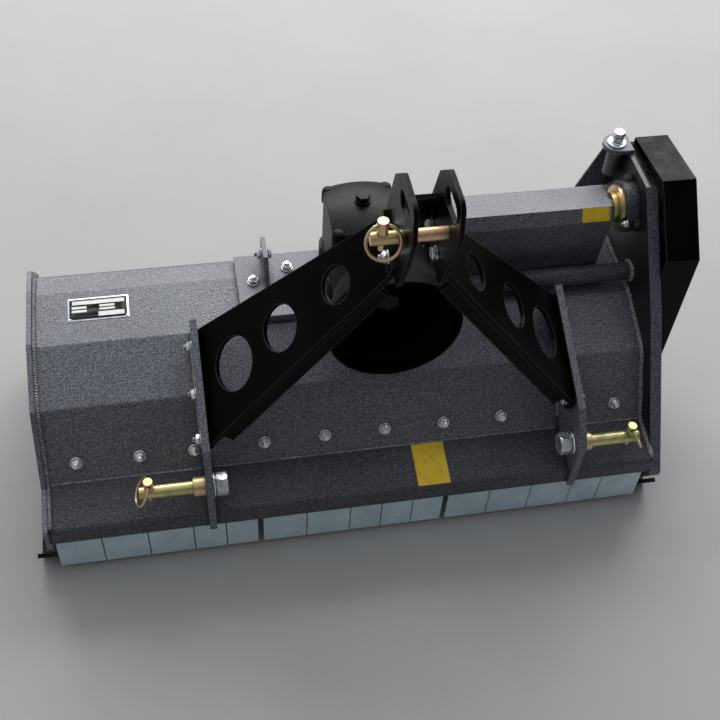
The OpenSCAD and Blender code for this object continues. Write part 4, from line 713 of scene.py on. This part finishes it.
def build_welds():
    """Beads at the ends of the hood and shelf, on the hitch brackets and round the tube, and a thin pale bead
    on the joint of hood and shelf that stands in for the highlight along the hood's lower edge: a painted
    highlight.
    """
    seam = np.concatenate([SHELF[:1] + (4.0, 2.0), HOOD[:5]])
    foot = np.array([HOOD[0] * 0.85 + HOOD[1] * 0.15, HOOD[1], HOOD[2] * 0.86 + HOOD[1] * 0.14])
    inset, gap, sink = 1.5, BRACKET_HALF + 0.5, 2.0
    grids = []
    for side in (-1.0, 1.0):
        grids.append(bead(np.insert(seam, 0, side * (HALF_WIDTH - inset), 1), radius=4.6))
        for face in (-1.0, 1.0):
            x = HITCH + side * BRACKET + face * gap
            grids.append(bead(np.insert(foot, 0, x, 1), radius=3.2, pitch=4.0))
    # Painted highlight: the thin pale bead along the hood's lower edge, between the brackets, marks the light
    # on that edge.
    stops = [-HALF_WIDTH, HITCH - BRACKET - gap, HITCH - BRACKET + gap, HITCH + BRACKET - gap,
             HITCH + BRACKET + gap, HALF_WIDTH]
    for left, right in zip(stops[::2], stops[1::2]):
        grids.append(bead([(left, *HOOD[0]), (right, *HOOD[0])], radius=1.7, pitch=5.2))
    low, high = (np.array(c) * 1000.0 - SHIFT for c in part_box("brace_tube"))
    middle, reach = (low + high) / 2, (high[2] - low[2]) / 2
    ring = arc(high[0] - sink, middle[1:], reach, 0.0, 2.0 * math.pi, 40)
    grids.append(bead(ring, radius=4.0, pitch=4.4))
    set_of("weld_beads_and_edge_highlight", grids, WELD, sharp=80.0)


def build_plates():
    """Blank rating plate with four rivets, and two blank yellow foils."""
    panel, plate_x, plate_y = HOOD[2:4], -414.5, 329.0
    plate_top, field_foot, blank_foot = 1.0, 1.18, 1.26
    rivet_x, rivet_y = (-47.5, 47.5), (-21.5, 21.5)
    blanks = ((0.5, 14.0, 88.0, 8.0), (-32.0, 3.6, 25.0, 5.0), (15.0, 5.0, 26.0, 4.4),
              (-32.0, -4.2, 25.0, 5.0), (15.0, -2.0, 26.0, 4.4), (22.0, -12.6, 44.0, 9.4))
    cover_slope = ((310.0, 440.0), (323.2, 462.0))
    seat = along(normal_of(*panel), panel_spot(*panel, plate_x, plate_y), side=RIGHT)
    rivet = lathe([(0.0, 2.1), (0.5, 2.1), (1.0, 1.7), (1.3, 1.0), (1.4, 0.02)], 18)
    rim = [sticker(103.0, 50.0, 2.0, plate_top)]
    rim += [rivet + (x, y, plate_top) for x in rivet_x for y in rivet_y]
    set_of("plate_rim", [seat(g) for g in rim], BRIGHT)
    field = sticker(97.0, 44.0, 5.0, 0.08) + (0.0, 0.0, field_foot)
    set_of("plate_field", [seat(field)], GLOSS)
    leaves = [sticker(w, h, 0.8, 0.06) + (x, y, blank_foot) for x, y, w, h in blanks]
    set_of("plate_blanks", [seat(g) for g in leaves], PALE)
    shelf = along(normal_of(*SHELF), panel_spot(*SHELF, 125.7, 43.5), side=RIGHT)
    cover = along(normal_of(*cover_slope), panel_spot(*cover_slope, 450.0, 316.6), side=RIGHT)
    foils = [shelf(sticker(57.0, 78.0, 1.5, 0.3)), cover(sticker(50.0, 24.5, 1.0, 0.3))]
    set_of("blank_foils", foils, FOIL)


# Making


aim_camera()
# Darker copies of one paint: half its light on the front beam, brace tube and bearing housing, a painted
# shade; the plate's copy is a little dimmer, and near black on faces that look to the left, also a painted
# shade.
PAINT, SHADE = speckled_paint("speckled_paint", 1.0), speckled_paint("shaded_paint", 0.5)
SHADED_PLATE = speckled_paint("plate_paint_shaded_inside", 0.8, (0.008, 0.008, 0.010, 1.0))
GLOSS, CASE = gloss_black(), case_black()
GOLD, BRIGHT, FLAP, STEEL = yellow_zinc(), bright_zinc(), flap_zinc(), bare_steel()
RUBBER, PLASTIC = black_rubber(), black_plastic()
WELD, PALE, FOIL = weld_paint(), pale_print(), yellow_foil()
dress(PAINT, "hood_shell", "left_side_plate", "hitch_brackets", "gearbox_base", "drive_cover",
      "tension_bracket", "roller_arms")
dress(SHADE, "front_beam", "brace_tube", "bearing_housing")
dress(SHADED_PLATE, "right_side_plate")
dress(GLOSS, "mast_legs", "mast_ears", "belt_cover", "belt_backing", "rear_roller", "skids")
dress(CASE, "gearbox_case", "filler_plug", "rotor_bearings", "input_shaft")
dress(GOLD, "lower_pins", "bearing_ring", "top_link_pin", "top_linch_pin", "top_linch_ring", "left_linch_pin",
      "left_linch_ring", "right_linch_pin", "right_linch_ring")
dress(BRIGHT, "counter_bolts", "frame_bolts", "flap_rod")
dress(FLAP, *["flap_%02d" % i for i in range(1, 16)])
dress(STEEL, "gear_bearings", "cross_shaft", "drive_pulley", "driven_pulley", "rotor_drum",
      "flails_bottom", "flails_rear", "flails_top", "flails_front", "counter_bar")
dress(RUBBER, "drive_belts")
dress(PLASTIC, "pto_guard")
build_counter_nuts()
build_frame_nuts()
build_small_bolts()
build_case_lugs()
build_welds()
build_plates()
build_stage()
